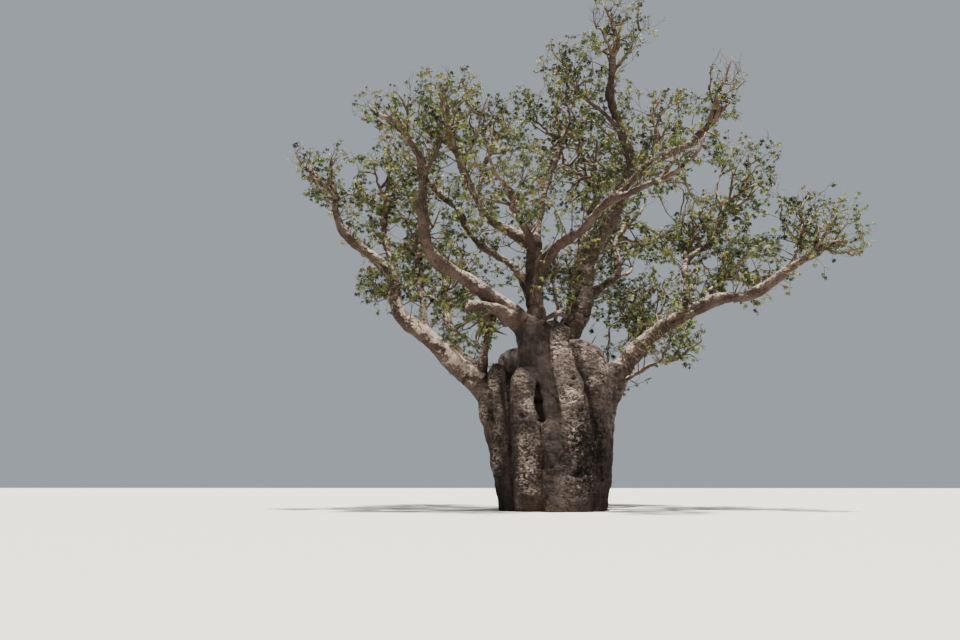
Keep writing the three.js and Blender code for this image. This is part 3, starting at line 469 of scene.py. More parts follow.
# The crown's outline from the front, and the open gaps in it: places as they look from the camera, in pixels
# of a picture 960 wide, with how far a gap reaches to the side and upwards
OUTLINE = [(425, 366), (414, 350), (408, 334), (396, 320), (384, 322), (370, 306), (354, 292), (351, 268),
           (358, 260), (347, 258), (334, 250), (334, 240), (322, 230), (312, 226), (310, 205), (304, 190),
           (303, 176), (292, 166), (280, 156), (275, 141), (285, 130), (300, 136), (316, 146), (322, 156),
           (322, 140), (332, 132), (346, 136), (353, 150), (360, 152), (370, 149), (380, 156), (383, 148),
           (370, 142), (378, 132), (368, 122), (352, 112), (347, 96), (356, 86), (372, 88), (386, 92),
           (392, 84), (402, 76), (414, 62), (428, 64), (440, 62), (456, 56), (468, 56), (476, 76), (484, 86),
           (500, 90), (510, 84), (526, 82), (536, 94), (546, 86), (544, 76), (534, 70), (532, 58), (546, 48),
           (542, 36), (560, 31), (574, 34), (586, 30), (588, 20), (580, 8), (584, -12), (646, -14), (652, 12),
           (668, 18), (664, 38), (646, 48), (638, 62), (636, 78), (630, 86), (640, 82), (652, 88), (664, 86),
           (684, 86), (700, 88), (711, 90), (710, 60), (718, 46), (736, 44), (746, 58), (748, 80), (746, 108),
           (746, 128), (738, 138), (746, 136), (756, 128), (768, 126), (782, 130), (788, 150), (782, 170),
           (778, 188), (770, 200), (764, 214), (750, 232), (742, 238), (756, 236), (772, 226), (782, 222),
           (774, 210), (776, 196), (790, 186), (806, 184), (822, 190), (832, 184), (842, 174), (860, 172),
           (866, 188), (868, 206), (872, 220), (872, 240), (868, 252), (850, 262), (836, 264), (832, 284),
           (812, 286), (796, 280), (790, 298), (788, 316), (770, 324), (748, 322), (738, 308), (704, 318),
           (708, 340), (704, 366), (684, 374), (664, 372), (640, 384), (620, 400), (480, 420)]
GAPS = [((349, 172), (9, 15)), ((376, 178), (11, 13)), ((397, 233), (9, 9)), ((377, 249), (8, 8)),
        ((410, 305), (9, 8)), ((436, 225), (6, 19)), ((449, 165), (10, 8)), ((488, 155), (11, 12)),
        ((468, 326), (10, 8)), ((503, 344), (12, 20)), ((455, 318), (8, 7)), ((512, 252), (10, 10)),
        ((505, 205), (8, 10)), ((569, 157), (9, 8)), ((640, 104), (10, 10)), ((665, 128), (8, 7)),
        ((700, 176), (14, 18)), ((720, 182), (12, 14)), ((657, 212), (20, 15)), ((676, 200), (14, 13)),
        ((632, 234), (10, 8)), ((632, 267), (13, 10)), ((757, 263), (16, 7)), ((733, 286), (12, 6)),
        ((601, 334), (6, 13)), ((619, 336), (8, 7)), ((712, 262), (7, 8)), ((558, 242), (8, 6)),
        ((440, 208), (5, 7)), ((662, 306), (8, 6)), ((540, 130), (7, 9)), ((620, 70), (5, 9)),
        ((598, 60), (5, 7)), ((662, 268), (7, 7)), ((525, 172), (7, 7)), ((365, 215), (6, 7)),
        ((393, 290), (5, 7)), ((690, 118), (6, 6))]


# Shader maths
class Socket:
    """A shader value that Python's operators work on: an expression adds its Math nodes."""

    def __init__(self, finish, out):
        self.finish = finish
        self.out = out

    def math(self, operation, other):
        return self.finish.node("ShaderNodeMath", {"operation": operation}, {0: self, 1: other})

    def __add__(self, other):
        return self.math("ADD", other)

    def __sub__(self, other):
        return self.math("SUBTRACT", other)

    def __mul__(self, other):
        return self.math("MULTIPLY", other)

    def __rsub__(self, other):
        return self.finish.node("ShaderNodeMath", {"operation": "SUBTRACT"}, {0: other, 1: self})

    __radd__ = __add__
    __rmul__ = __mul__

    def max(self, other):
        return self.math("MAXIMUM", other)

    def step(self, low, high):
        """0 below low and 1 above high, with a smooth way between."""
        return self.finish.node("ShaderNodeMapRange", {"interpolation_type": "SMOOTHSTEP"},
                                {"Value": self, "From Min": low, "From Max": high})


class Finish:
    """A material: one method adds any node, and short ones the few that recur."""

    def __init__(self, name, roughness=0.9, specular=0.25):
        self.material = bpy.data.materials.new(name)
        self.material.use_nodes = True
        self.tree = self.material.node_tree
        self.shader = self.tree.nodes["Principled BSDF"]
        self.shader.inputs["Roughness"].default_value = roughness
        self.shader.inputs["Specular IOR Level"].default_value = specular

    def node(self, kind, settings=None, inputs=None, output=0):
        node = self.tree.nodes.new(kind)
        for name, value in (settings or {}).items():
            setattr(node, name, value)
        for name, value in (inputs or {}).items():
            self.feed(node.inputs[name], value)
        return Socket(self, node.outputs[output])

    def feed(self, socket, value):
        if isinstance(value, Socket):
            self.tree.links.new(value.out, socket)
        elif isinstance(value, tuple) and socket.type == "RGBA":
            socket.default_value = (*value, 1)
        else:
            socket.default_value = value

    def place(self, scale=(1, 1, 1)):
        """Object coordinates, stretched."""
        here = self.node("ShaderNodeTexCoord", output="Object")
        return self.node("ShaderNodeMapping", {}, {"Vector": here, "Scale": scale})

    def noise(self, place, scale, detail=3, rough=0.55, distortion=0):
        return self.node("ShaderNodeTexNoise", {}, {"Vector": place, "Scale": scale, "Detail": detail,
                                                    "Roughness": rough, "Distortion": distortion})

    def cells(self, place, scale):
        return self.node("ShaderNodeTexVoronoi", {"feature": "F1"}, {"Vector": place, "Scale": scale})

    def mix(self, share, first, second):
        """The first colour where the share is 0, and the second where it is 1."""
        colours = {"Factor": share, 6: first, 7: second}
        return self.node("ShaderNodeMix", {"data_type": "RGBA"}, colours, output=2)

    def attribute(self, name):
        return self.node("ShaderNodeAttribute", {"attribute_name": name}, output="Fac")

    def part(self, vector, axis):
        return self.node("ShaderNodeSeparateXYZ", {}, {"Vector": vector}, output=axis)

    def colour(self, value):
        self.feed(self.shader.inputs["Base Color"], value)

    def bump(self, height, distance, strength=1):
        bump = self.node("ShaderNodeBump", {}, {"Height": height, "Distance": distance, "Strength": strength})
        self.feed(self.shader.inputs["Normal"], bump)


# Routes
def curve_point(points, at):
    """A point of the smooth curve through the points: the first is at 0, the next at 1, and so on."""
    span = min(int(at), len(points) - 2)
    row = [2 * points[0] - points[1], *points, 2 * points[-1] - points[-2]][span:span + 4]
    knot = [0]
    for a, b in zip(row, row[1:]):
        knot.append(knot[-1] + math.sqrt((b - a).length))
    t = knot[1] + (knot[2] - knot[1]) * (at - span)
    row = [row[i].lerp(row[i + 1], (t - knot[i]) / (knot[i + 1] - knot[i])) for i in range(3)]
    row = [row[i].lerp(row[i + 1], (t - knot[i]) / (knot[i + 2] - knot[i])) for i in range(2)]
    return row[0].lerp(row[1], (t - knot[1]) / (knot[2] - knot[1]))


def walk(points, shares):
    """The places at the given shares of the length of the smooth curve through the points."""
    points = [Vector(p) for p in points]
    steps = CURVE_STEPS * (len(points) - 1)
    dense = np.array([curve_point(points, i / CURVE_STEPS) for i in range(steps + 1)])
    run = np.concatenate([[0], np.cumsum(np.linalg.norm(np.diff(dense, axis=0), axis=1))])
    found = [np.interp(np.array(shares) * run[-1], run, dense[:, k]) for k in range(3)]
    return [Vector(p) for p in zip(*found)], run[-1]


# Modelling
def deselect():
    bpy.ops.object.select_all(action="DESELECT")


def limb(places, radii, sides):
    """A closed tube through the places, extruded ring by ring from a circle."""
    last = len(places) - 1
    ways = [(places[min(i + 1, last)] - places[max(i - 1, 0)]).normalized() for i in range(last + 1)]
    deselect()
    turn = ways[0].to_track_quat("Z", "Y").to_euler()
    bpy.ops.mesh.primitive_circle_add(vertices=sides, radius=radii[0], fill_type="NGON", location=places[0],
                                      rotation=turn)
    bpy.ops.object.mode_set(mode="EDIT")
    for i in range(1, last + 1):
        bpy.ops.mesh.extrude_region_move(TRANSFORM_OT_translate={"value": places[i] - places[i - 1]})
        swing = ways[i - 1].rotation_difference(ways[i]).to_euler("XYZ")
        for axis, angle in zip("XYZ", swing):
            bpy.ops.transform.rotate(value=-angle, orient_axis=axis, orient_type="GLOBAL",
                                     center_override=places[i])
        size = radii[i] / radii[i - 1]
        bpy.ops.transform.resize(value=(size, size, size), center_override=places[i])
    bpy.ops.mesh.select_all(action="SELECT")
    bpy.ops.mesh.normals_make_consistent(inside=False)
    bpy.ops.object.mode_set(mode="OBJECT")
    return bpy.context.object


def joined(pieces, name):
    """The pieces as one object at the origin."""
    deselect()
    for piece in pieces:
        piece.select_set(True)
    bpy.context.view_layer.objects.active = pieces[0]
    bpy.ops.object.join()
    bpy.ops.object.transform_apply(location=True, rotation=True, scale=True)
    piece = bpy.context.object
    piece.name = piece.data.name = name
    return piece


def apply(piece, kind, **settings):
    """Adds a modifier and applies it."""
    modifier = piece.modifiers.new(kind.lower(), kind)
    for name, value in settings.items():
        setattr(modifier, name, value)
    deselect()
    piece.select_set(True)
    bpy.context.view_layer.objects.active = piece
    bpy.ops.object.modifier_apply(modifier=modifier.name)


def points_of(piece):
    found = np.empty(len(piece.data.vertices) * 3, np.float32)
    piece.data.vertices.foreach_get("co", found)
    return found.reshape(-1, 3)


def normals_of(piece):
    found = np.empty(len(piece.data.vertices) * 3, np.float32)
    piece.data.vertex_normals.foreach_get("vector", found)
    return found.reshape(-1, 3)


def stem_rings(route, girth):
    """A stem swells from foot to belly, and its head is rounded like half a ball."""
    foot, belly, head = girth
    length = walk(route, [0, 1])[1]
    dome = 1 - head / length
    rise = np.sin(np.linspace(0, math.pi / 2, DOME_RINGS)[1:])
    shares = [*np.linspace(0, dome, STEM_RINGS), *(dome + (1 - dome) * rise)]
    radii = []
    for share in shares:
        low = foot * (1 - share) * (1 - 2 * share)
        swell = low + belly * 4 * share * (1 - share) + head * share * (2 * share - 1)
        radii.append(swell * math.sqrt(max(1 - max((share - dome) / (1 - dome), 0) ** 2, DOME_END)))
    return walk(route, shares)[0], radii


def scatter(index):
    """Evenly scattered numbers from 0 to 1: the same index always gives the same three."""
    return [(0.5 + index * step) % 1 for step in SCATTER_STEPS]


def taper(foot, tip, share):
    """A bough flares out at its foot and tapers evenly past that."""
    body = foot * BODY_SHARE
    return tip + (body - tip) * (1 - share) + (foot - body) * (1 - share) ** FLARE_POWER


def bough_radius(name, share):
    return taper(BOUGHS[name][1], BOUGHS[name][2], share)


def bough_rings(name, start=0, end=1):
    """The rings of a gnarled bough, or of a part of it: their places and radii."""
    route = BOUGHS[name][0]
    length = walk(route, [0, 1])[1]
    count = max(LEAST_RINGS, round(length * (end - start) / RING_SPACING))
    shares = np.linspace(start, end, count + 1)
    places = walk(route, shares)[0]
    radii = [bough_radius(name, share) for share in shares]
    for i in range(1, count):
        gnarl = noise.noise_vector(places[i] * GNARL_SCALE)
        places[i] = places[i] + gnarl * GNARL * (1 if radii[i] < STOUT else STOUT_GNARL)
        radii[i] *= 1 + noise.noise(places[i] * BULGE_SCALE) * 2 * GNARL
    return places, radii


def texture(name, kind, **settings):
    made = bpy.data.textures.new(name, kind)
    for key, value in settings.items():
        setattr(made, key, value)
    return made


LUMPS = texture("lumps", "CLOUDS", noise_scale=0.6, noise_depth=2)
KNOBS = texture("knobs", "CLOUDS", noise_scale=0.17, noise_depth=2)
WRINKLES = texture("wrinkles", "MUSGRAVE", musgrave_type="RIDGED_MULTIFRACTAL", noise_scale=0.065, octaves=3,
                   lacunarity=2.1, dimension_max=1.0, offset=1.0, gain=1.8, noise_intensity=0.5)
CREASES = texture("creases", "CLOUDS", noise_scale=0.09, noise_depth=3, noise_type="HARD_NOISE")

bpy.ops.object.empty_add(location=(0, 0, 0))
STRETCH = bpy.context.object
STRETCH.scale = (1.5, 1.5, 0.8)
bpy.context.view_layer.update()


def keep(piece, name, values):
    """Keeps a value for every point as an attribute for the material."""
    kept = piece.data.attributes.new(name, "FLOAT", "POINT")
    kept.data.foreach_set("value", np.asarray(values, np.float32))


def bark_relief(piece, rough, lumps, knobs, wrinkles, creases):
    """Displaces the bark, and keeps how far each point went out or in as the attribute relief, in cm."""
    apply(piece, "DISPLACE", texture=LUMPS, texture_coords="LOCAL", strength=lumps, mid_level=0.5)
    apply(piece, "DISPLACE", texture=KNOBS, texture_coords="LOCAL", strength=knobs, mid_level=0.5)
    weigh(piece, rough)
    before = points_of(piece)
    normals = normals_of(piece)
    apply(piece, "DISPLACE", texture=WRINKLES, texture_coords="OBJECT", texture_coords_object=STRETCH,
          strength=wrinkles, mid_level=0.5, vertex_group="rough")
    apply(piece, "DISPLACE", texture=CREASES, texture_coords="LOCAL", strength=creases, mid_level=0.3,
          vertex_group="rough")
    keep(piece, "relief", ((points_of(piece) - before) * normals).sum(axis=1) * 100)


def thin_out(piece, pieces=1):
    """Fewer triangles, where there are too many for one piece, or for as many as it is cut into."""
    count = sum(len(p.vertices) - 2 for p in piece.data.polygons)
    if count > PIECE_TRIANGLES * pieces:
        apply(piece, "DECIMATE", decimate_type="COLLAPSE", ratio=PIECE_TRIANGLES * pieces / count)


def weigh(piece, weights):
    """A vertex group called rough: how much of the bark's relief each point has."""
    group = piece.vertex_groups.new(name="rough")
    for level in range(1, ROUGHNESS_LEVELS + 1):
        chosen = np.nonzero(np.round(weights * ROUGHNESS_LEVELS) == level)[0]
        if len(chosen):
            group.add(chosen.tolist(), level / ROUGHNESS_LEVELS, "REPLACE")


def nearest(points, places):
    """How far each point is from the nearest of the places, and which of them that is."""
    best = np.full(len(points), np.inf)
    which = np.zeros(len(points), int)
    for index, place in enumerate(places):
        away = np.linalg.norm(points - np.array(place, np.float32), axis=1)
        which[away < best] = index
        best = np.minimum(best, away)
    return best, which


def fold_depth(points):
    """1 where two stems meet, down to 0 away from there."""
    away = []
    for route, girth in STEMS.values():
        places, radii = stem_rings(route, girth)
        shares = np.linspace(0, len(radii) - 1, FOLD_SAMPLES)
        dense = [np.interp(shares, range(len(radii)), np.array(places)[:, k]) for k in range(3)]
        best = np.full(len(points), np.inf)
        for place, radius in zip(zip(*dense), np.interp(shares, range(len(radii)), radii)):
            best = np.minimum(best, np.linalg.norm(points - np.array(place, np.float32), axis=1) - radius)
        away.append(best)
    away = np.sort(np.array(away), axis=0)
    return np.exp(-((away[1] - away[0]) / FOLD_WIDTH) ** 2)


def soft(points, scale):
    """Soft noise at the points, from about -1 to 1."""
    return np.array([noise.noise(Vector(point) * scale) for point in points])


def press(piece, depths):
    """Moves every point inwards along its normal."""
    points = points_of(piece) - normals_of(piece) * np.asarray(depths, np.float32)[:, None]
    piece.data.vertices.foreach_set("co", points.ravel())
    piece.data.update()


def carve(at, depths):
    """Adds the carving to the depths, and returns where its deep folds get painted shade: 1 along the middle
    of each.
    """
    dark = np.zeros(len(at))
    for route, radius, depth in CARVING:
        steps = CARVING_STEPS * (len(route) - 1) + 1
        places = walk(route, np.linspace(0, 1, steps))[0] if len(route) > 1 else [Vector(route[0])]
        away = nearest(at, places)[0]
        share = np.clip(1 - (away / (radius * CARVING_SPREAD)) ** 2, 0, 1) ** 2
        depths += share * depth
        if depth > DARK_FROM_DEPTH:
            dark = np.maximum(dark, share)
    return dark


def off_stubs(at):
    """1 on the trunk itself, and down to 0 along the stubs of the boughs that leave it."""
    share = np.ones(len(at))
    for name, end in TRUNK_BOUGHS.items():
        places = bough_rings(name, 0, end)[0]
        away, which = nearest(at, places)
        past = np.clip(STUB_WORN - which / (len(places) - 1), 0, 1)
        on_stub = (away < bough_radius(name, 0) * STUB_WIDTH) & (at[:, 2] > STUBS_FROM)
        share = np.where(on_stub, np.minimum(share, past), share)
    return share


def smooth_places(at):
    """Where the bark is smooth: the column in front, the neck, and the shoulder, which gets painted light
    too.
    """
    left = np.interp(at[:, 2], COLUMN[0], COLUMN[1])
    right = np.interp(at[:, 2], COLUMN[0], COLUMN[2])
    inside = np.minimum(at[:, 0] - left, right - at[:, 0])
    column = np.clip(inside / COLUMN_EDGE + 0.5, 0, 1) * (at[:, 1] < WELL_FRONT)
    # Low down the column is rougher
    column *= 0.35 + 0.65 * np.clip((at[:, 2] - 1.7) / 0.8, 0, 1)
    neck = np.clip((at[:, 2] - NECK_FROM) / 0.4, 0, 1) * (at[:, 0] < 0.05)
    middle, reach = SHOULDER
    shoulder = np.clip(1.6 - np.linalg.norm((at - middle) / reach, axis=1), 0, 1)
    return np.maximum.reduce([column, neck, shoulder * 0.8]), shoulder


def beyond(at, patch):
    """How far each point is from a patch's middle, squared, with 1 at the patch's edge."""
    (x, z), (wide, high) = patch
    return ((at[:, 0] - x) / wide) ** 2 + ((at[:, 2] - z) / high) ** 2


def pale_and_rugged(at):
    """How pale the bark is, partly painted sunlight, and how rugged, from its patches and soft blots."""
    front = at[:, 1] < FRONT
    blots = soft(at, BLOT_SCALE)
    pale = np.where(front, PALE_FRONT, PALE_BACK) + 0.35 * blots
    for patch in PALE_PATCHES:
        away = beyond(at, patch) + blots * 0.9
        pale = np.maximum(pale, np.where(front, np.exp(-0.8 * np.clip(away, 0, 9)), 0))
    for patch in DULL_PATCHES:
        away = beyond(at, patch) + blots * 0.4
        pale -= np.where(front, 0.5 * np.exp(-np.clip(away, 0, 9) ** 2), 0)
    rugged = np.full(len(at), LEAST_RUGGED)
    for patch in RUGGED:
        away = beyond(at, patch) + blots * 0.5
        more = LEAST_RUGGED + (1 - LEAST_RUGGED) * np.clip(1.6 - away, 0, 1)
        rugged = np.maximum(rugged, np.where(at[:, 1] < WELL_FRONT, more, 0))
    return pale, rugged


def halves(trunk):
    """Cuts the trunk's foot off flat, thins the mesh out and parts the back from the front."""
    deselect()
    trunk.select_set(True)
    bpy.ops.object.mode_set(mode="EDIT")
    bpy.ops.mesh.select_all(action="SELECT")
    bpy.ops.mesh.bisect(plane_co=(0, 0, 0), plane_no=(0, 0, 1), use_fill=True, clear_inner=True)
    bpy.ops.object.mode_set(mode="OBJECT")
    thin_out(trunk, 2)
    bpy.ops.object.shade_smooth()
    middles = np.empty(len(trunk.data.polygons) * 3, np.float32)
    trunk.data.polygons.foreach_get("center", middles)
    behind = middles.reshape(-1, 3)[:, 1] > TRUNK_HALVES_AT
    trunk.data.polygons.foreach_set("select", behind)
    bpy.ops.object.mode_set(mode="EDIT")
    bpy.ops.mesh.select_mode(type="FACE")
    bpy.ops.mesh.separate(type="SELECTED")
    bpy.ops.object.mode_set(mode="OBJECT")
    back = next(piece for piece in bpy.context.selected_objects if piece != trunk)
    back.name = back.data.name = "trunk_bark_back"
    return trunk, back


def make_trunk():
    """The stems and the stubs of the boughs, melted into one, folded, carved and given their bark."""
    pieces = [limb(*stem_rings(*stem), STEM_SIDES) for stem in STEMS.values()]
    for name, end in TRUNK_BOUGHS.items():
        places, radii = bough_rings(name, 0, end)
        along = np.linspace(0, end, len(radii))
        sizes = np.interp(along, (0, end - STUB_OVERLAP, end), STUB_SIZES)
        pieces.append(limb(places, [radius * size for radius, size in zip(radii, sizes)], LIMB_SIDES))
    trunk = joined(pieces, "trunk_bark")
    apply(trunk, "REMESH", mode="VOXEL", voxel_size=TRUNK_VOXEL)
    apply(trunk, "SMOOTH", factor=SMOOTHING, iterations=TRUNK_MELTED)
    at = points_of(trunk)
    low = 1 - np.clip(at[:, 2] - FOLDS_END_AT, 0, 1)
    (left, right), ahead = BESIDE_COLUMN
    beside_column = (at[:, 1] < ahead) & (at[:, 0] > left) & (at[:, 0] < right)
    unevenly = np.clip(0.55 + 1.5 * soft(at, UNEVEN_SCALE), 0.1, 1)
    fold = fold_depth(at) * low * unevenly * np.where(beside_column, FOLD_BESIDE_COLUMN, 1)
    above_foot = np.clip(at[:, 2] / HOLLOWS_FROM, 0, 1)
    depths = fold * FOLD_DEPTH - HOLLOW_DEPTH * soft(at, HOLLOW_SCALE) * above_foot
    dark = carve(at, depths)
    press(trunk, depths)
    apply(trunk, "SMOOTH", factor=SMOOTHING, iterations=CARVING_MELTED)
    at = points_of(trunk)
    smooth, shoulder = smooth_places(at)
    worn = np.clip(off_stubs(at) * (1 - 0.9 * smooth), 0, 1)
    pale, rugged = pale_and_rugged(at)
    bark_relief(trunk, worn * rugged * (0.6 + 0.4 * pale), *TRUNK_RELIEF)
    keep(trunk, "worn", worn)
    # Where the shoulder gets painted light
    keep(trunk, "shoulder_painted_light", shoulder)
    # How pale the bark is, partly painted sunlight
    keep(trunk, "pale", pale)
    # Where the folds and the deep carved grooves get painted shade
    keep(trunk, "fold", np.clip(np.maximum(fold, dark), 0, 1))
    return halves(trunk)


def make_boughs(name, members):
    """One group of boughs in one piece, with the stump and the collar where the left middle bough is."""
    pieces = []
    for member in members:
        places, radii = bough_rings(member, max(TRUNK_BOUGHS.get(member, 0) - STUB_OVERLAP, 0))
        pieces.append(limb(places, radii, LIMB_SIDES))
    if "left_mid" in members:
        shares = np.linspace(0, 1, STUMP_RINGS)
        radii = [taper(*STUMP[1:], share) for share in shares]
        pieces.append(limb(walk(STUMP[0], shares)[0], radii, LIMB_SIDES))
        shares = np.linspace(0, 1, COLLAR_RINGS)
        radii = [np.interp(share, (0, 1), COLLAR[1:]) for share in shares]
        pieces.append(limb(walk(COLLAR[0], shares)[0], radii, LIMB_SIDES))
    boughs = joined(pieces, name)
    apply(boughs, "REMESH", mode="VOXEL", voxel_size=BOUGH_VOXEL)
    apply(boughs, "SMOOTH", factor=SMOOTHING, iterations=BOUGH_MELTED)
    bark_relief(boughs, np.full(len(boughs.data.vertices), BOUGH_ROUGHNESS), *BOUGH_RELIEF)
    thin_out(boughs)
    deselect()
    boughs.select_set(True)
    bpy.ops.object.shade_smooth()
    return boughs


# The boughs that leave the trunk, and the share of each that the trunk's own bark runs out along
TRUNK_BOUGHS = {"left_low": 0.16, "left_mid": 0.12, "centre": 0.3, "tall": 0.3, "right_low": 0.16,
                "back": 0.1, "back_low_left": 0.2, "back_low_right": 0.2}
GROUPS = {
    "boughs_low_left": ["left_low", "left_inner", "left_pale", "left_droop", "left_spur"],
    "boughs_centre": ["centre", "left_mid", "left_mid_fork", "left_back", "centre_left", "centre_left_fork",
                      "centre_up", "centre_front", "centre_right", "centre_right_fork", "centre_right_low"],
    "boughs_tall_and_back": ["tall", "tall_side", "right_back", "back", "back_low_left", "back_low_right"],
    "boughs_low_right": ["right_low", "right_tip_fork", "right_riser", "right_riser_fork", "right_top",
                         "right_droop"],
}


# Foliage
class Mass:
    """A mass of foliage: the space that its twigs keep to, and the stem that they branch from."""

    def __init__(self, name):
        self.name = name
        route, _, self.thick, middle, self.reach = BOUGHS[name]
        self.middle = Vector(middle)
        (before, self.foot), _ = walk(route, [0.99, 1])
        self.way = (self.foot - before).normalized()


MASSES = [Mass(name) for name, bough in BOUGHS.items() if bough[3]]
MIDDLES = np.array([mass.middle for mass in MASSES])
REACHES = np.array([mass.reach for mass in MASSES])
LIMB_PLACES = []
LIMB_RADII = []
LIMB_NAMES = []
for name in BOUGHS:
    shares = np.linspace(0, 1, CLEARANCE_POINTS + 1)
    LIMB_PLACES += walk(BOUGHS[name][0], shares)[0]
    LIMB_RADII += [bough_radius(name, share) for share in shares]
    LIMB_NAMES += [name] * len(shares)
LIMB_PLACES += walk(STUMP[0], shares)[0]
LIMB_RADII += [taper(*STUMP[1:], share) for share in shares]
LIMB_NAMES += ["stump"] * len(shares)
LIMB_PLACES = np.array(LIMB_PLACES)
LIMB_RADII = np.array(LIMB_RADII)
LIMB_NAMES = np.array(LIMB_NAMES)


def belongs(mass, point, slack=0):
    """A point belongs to a mass when it is inside its reach and nearer to it than to any other mass."""
    depth = np.linalg.norm(MIDDLES - np.array(point), axis=1) / REACHES
    own = MASSES.index(mass)
    deep = depth[own] + SPACE_MARGIN
    return deep < 1 + slack and deep < np.delete(depth, own).min() - SPACE_MARGIN + slack


def clear_of_limbs(mass, point, size):
    """Whether a twig of this size, there, stands clear of the limbs: it may touch its own bough."""
    room = np.where(LIMB_NAMES == mass.name, 0, LIMB_CLEARANCE)
    return bool((np.linalg.norm(LIMB_PLACES - np.array(point), axis=1) > LIMB_RADII + size + room).all())


def target(mass, index, reach):
    """A place in a mass where a twig may end, scattered between two shares of its reach."""
    a, b, c = scatter(index)
    turn = 2 * math.pi * a
    height = 2 * b - 1
    flat = math.sqrt(1 - height * height)
    out = mass.reach * (reach[0] + (reach[1] - reach[0]) * math.sqrt(c))
    return mass.middle + out * Vector((flat * math.cos(turn), flat * math.sin(turn), height))


def inside_box(point, spare=BOX_SPARE):
    return all(CAD_BOX[0][k] - spare < point[k] < CAD_BOX[1][k] + spare for k in range(3))


CORNERS = np.array(OUTLINE, float)
NEXT_CORNERS = np.roll(CORNERS, -1, axis=0)
GAP_MIDDLES = np.array([middle for middle, _ in GAPS], float)
GAP_REACHES = np.array([reach for _, reach in GAPS], float)
FROM_CAMERA = Euler((math.pi / 2 + CAMERA_TILT, 0, CAMERA_TURN)).to_matrix().transposed()


def from_front(point):
    """Where a place is seen from the camera, and how far away it is."""
    ahead = FROM_CAMERA @ (Vector(point) - Vector(CAMERA_PLACE))
    return (PICTURE_MIDDLE[0] - PICTURE_FOCUS * ahead.x / ahead.z,
            PICTURE_MIDDLE[1] + PICTURE_FOCUS * ahead.y / ahead.z, -ahead.z)


def in_crown(point, spare=0.0):
    """Whether a place lies within the crown's outline from the front, and in none of its gaps."""
    u, v, _ = from_front(point)
    beside = (CORNERS[:, 1] > v) != (NEXT_CORNERS[:, 1] > v)
    rise = np.where(beside, NEXT_CORNERS[:, 1] - CORNERS[:, 1], 1)
    crossing = CORNERS[:, 0] + (v - CORNERS[:, 1]) / rise * (NEXT_CORNERS[:, 0] - CORNERS[:, 0])
    if np.count_nonzero(beside & (crossing > u)) % 2 == 0:
        return False
    return bool(((((u, v) - GAP_MIDDLES) / GAP_REACHES) ** 2).sum(axis=1).min() > (1 - spare) ** 2)


OPEN_LIMBS = np.isin(LIMB_NAMES, ["left_low", "left_mid", "left_back", "centre", "centre_left", "centre_up",
                                  "centre_right", "tall", "tall_side", "right_low", "stump"])
OPEN_PLACES = np.array([from_front(place) for place in LIMB_PLACES[OPEN_LIMBS]])
OPEN_REACHES = np.maximum(LIMB_RADII[OPEN_LIMBS] * PICTURE_FOCUS / OPEN_PLACES[:, 2], LEAST_OPEN)


def before_limb(point):
    """Whether a place hides one of the boughs that show well from the front."""
    u, v, away = from_front(point)
    beside = (OPEN_PLACES[:, 0] - u) ** 2 + (OPEN_PLACES[:, 1] - v) ** 2
    return bool(((beside < OPEN_REACHES ** 2) & (OPEN_PLACES[:, 2] > away)).any())


class Knot:
    """A place where a twig ends, and others may branch."""

    def __init__(self, at, way, path, back, made=False):
        self.at = at
        self.way = way
        self.path = path
        self.back = back
        self.made = made
        self.load = 0


def grow(knots, targets, free):
    """Joins each target to the knot that it is cheapest to reach from."""
    places = [np.array(knot.at) for knot in knots]
    ways = [np.array(knot.way) for knot in knots]
    paths = [knot.path for knot in knots]
    for point in targets:
        step = np.array(point) - np.array(places[1:])
        length = np.linalg.norm(step, axis=1)
        turn = 1 - (step * np.array(ways[1:])).sum(axis=1) / length
        best = int(np.argmin(length * (1 + TURN_COST * turn) + PATH_COST * np.array(paths[1:])))
        if not free(knots[best + 1].at, point):
            continue
        way = Vector(step[best]).normalized()
        knot = Knot(point, way, paths[best + 1] + length[best], best + 1)
        knot.load = 1
        knots.append(knot)
        places.append(np.array(point))
        ways.append(np.array(way))
        paths.append(knot.path)


def knots_of(mass, order):
    """The solids' own twigs first, by their rule, and then finer ones by the same rule."""
    neck = mass.foot + mass.way * mass.thick * 2
    knots = [Knot(mass.foot, mass.way, 0, None), Knot(neck, mass.way, mass.thick * 2, 0)]
    targets = []
    for index in range(TWIGS_PER_MASS * TRIES_PER_TWIG):
        point = target(mass, order * MASS_STRIDE + index, TWIG_REACH)
        if len(targets) < TWIGS_PER_MASS and belongs(mass, point) and clear_of_limbs(mass, point, TWIG_TIP):
            targets.append(point)
    near = lambda point: (point - mass.foot).length
    free_at = lambda point, share: clear_of_limbs(mass, point, 2 * TWIG_TIP) and (
        share < IN_SPACE_FROM or belongs(mass, point))
    free = lambda start, end: all(free_at(start.lerp(end, share), share) for share in TESTED_SHARES)
    grow(knots, sorted(targets, key=near), free)
    for route, _, _ in BRANCHES[mass.name]:
        length = walk(route, [0, 1])[1]
        shares = np.linspace(0.12, 1, max(4, round(length / KNOT_SPACING)))
        places = walk(route, shares)[0]
        for i, place in enumerate(places):
            way = (places[min(i + 1, len(places) - 1)] - places[max(i - 1, 0)]).normalized()
            aside = Vector(rng.normal(0, 1, 3)).normalized()
            out = (way + aside * 0.6 + SLIGHTLY_UP).normalized()
            knots.append(Knot(place, out, length * shares[i] * 0.5, 1, True))
    count = round(FINE_COUNT * THICKNESS[mass.name][0] * mass.reach ** 2)
    fine = []
    for index in range(count * FINE_TRIES):
        point = target(mass, order * MASS_STRIDE + FINE_STRIDE + index, FINE_REACH)
        if len(fine) < count and inside_box(point, 0) and in_crown(point) and belongs(
                mass, point, FINE_SLACK) and clear_of_limbs(mass, point, FINE_CLEARANCE):
            fine.append(point)
    grow(knots, sorted(fine, key=near), lambda start, end: clear_of_limbs(mass, start.lerp(end, 0.6), 0.01))
    for knot in reversed(knots[1:]):
        if not knot.made:
            knots[knot.back].load += knot.load
    return knots


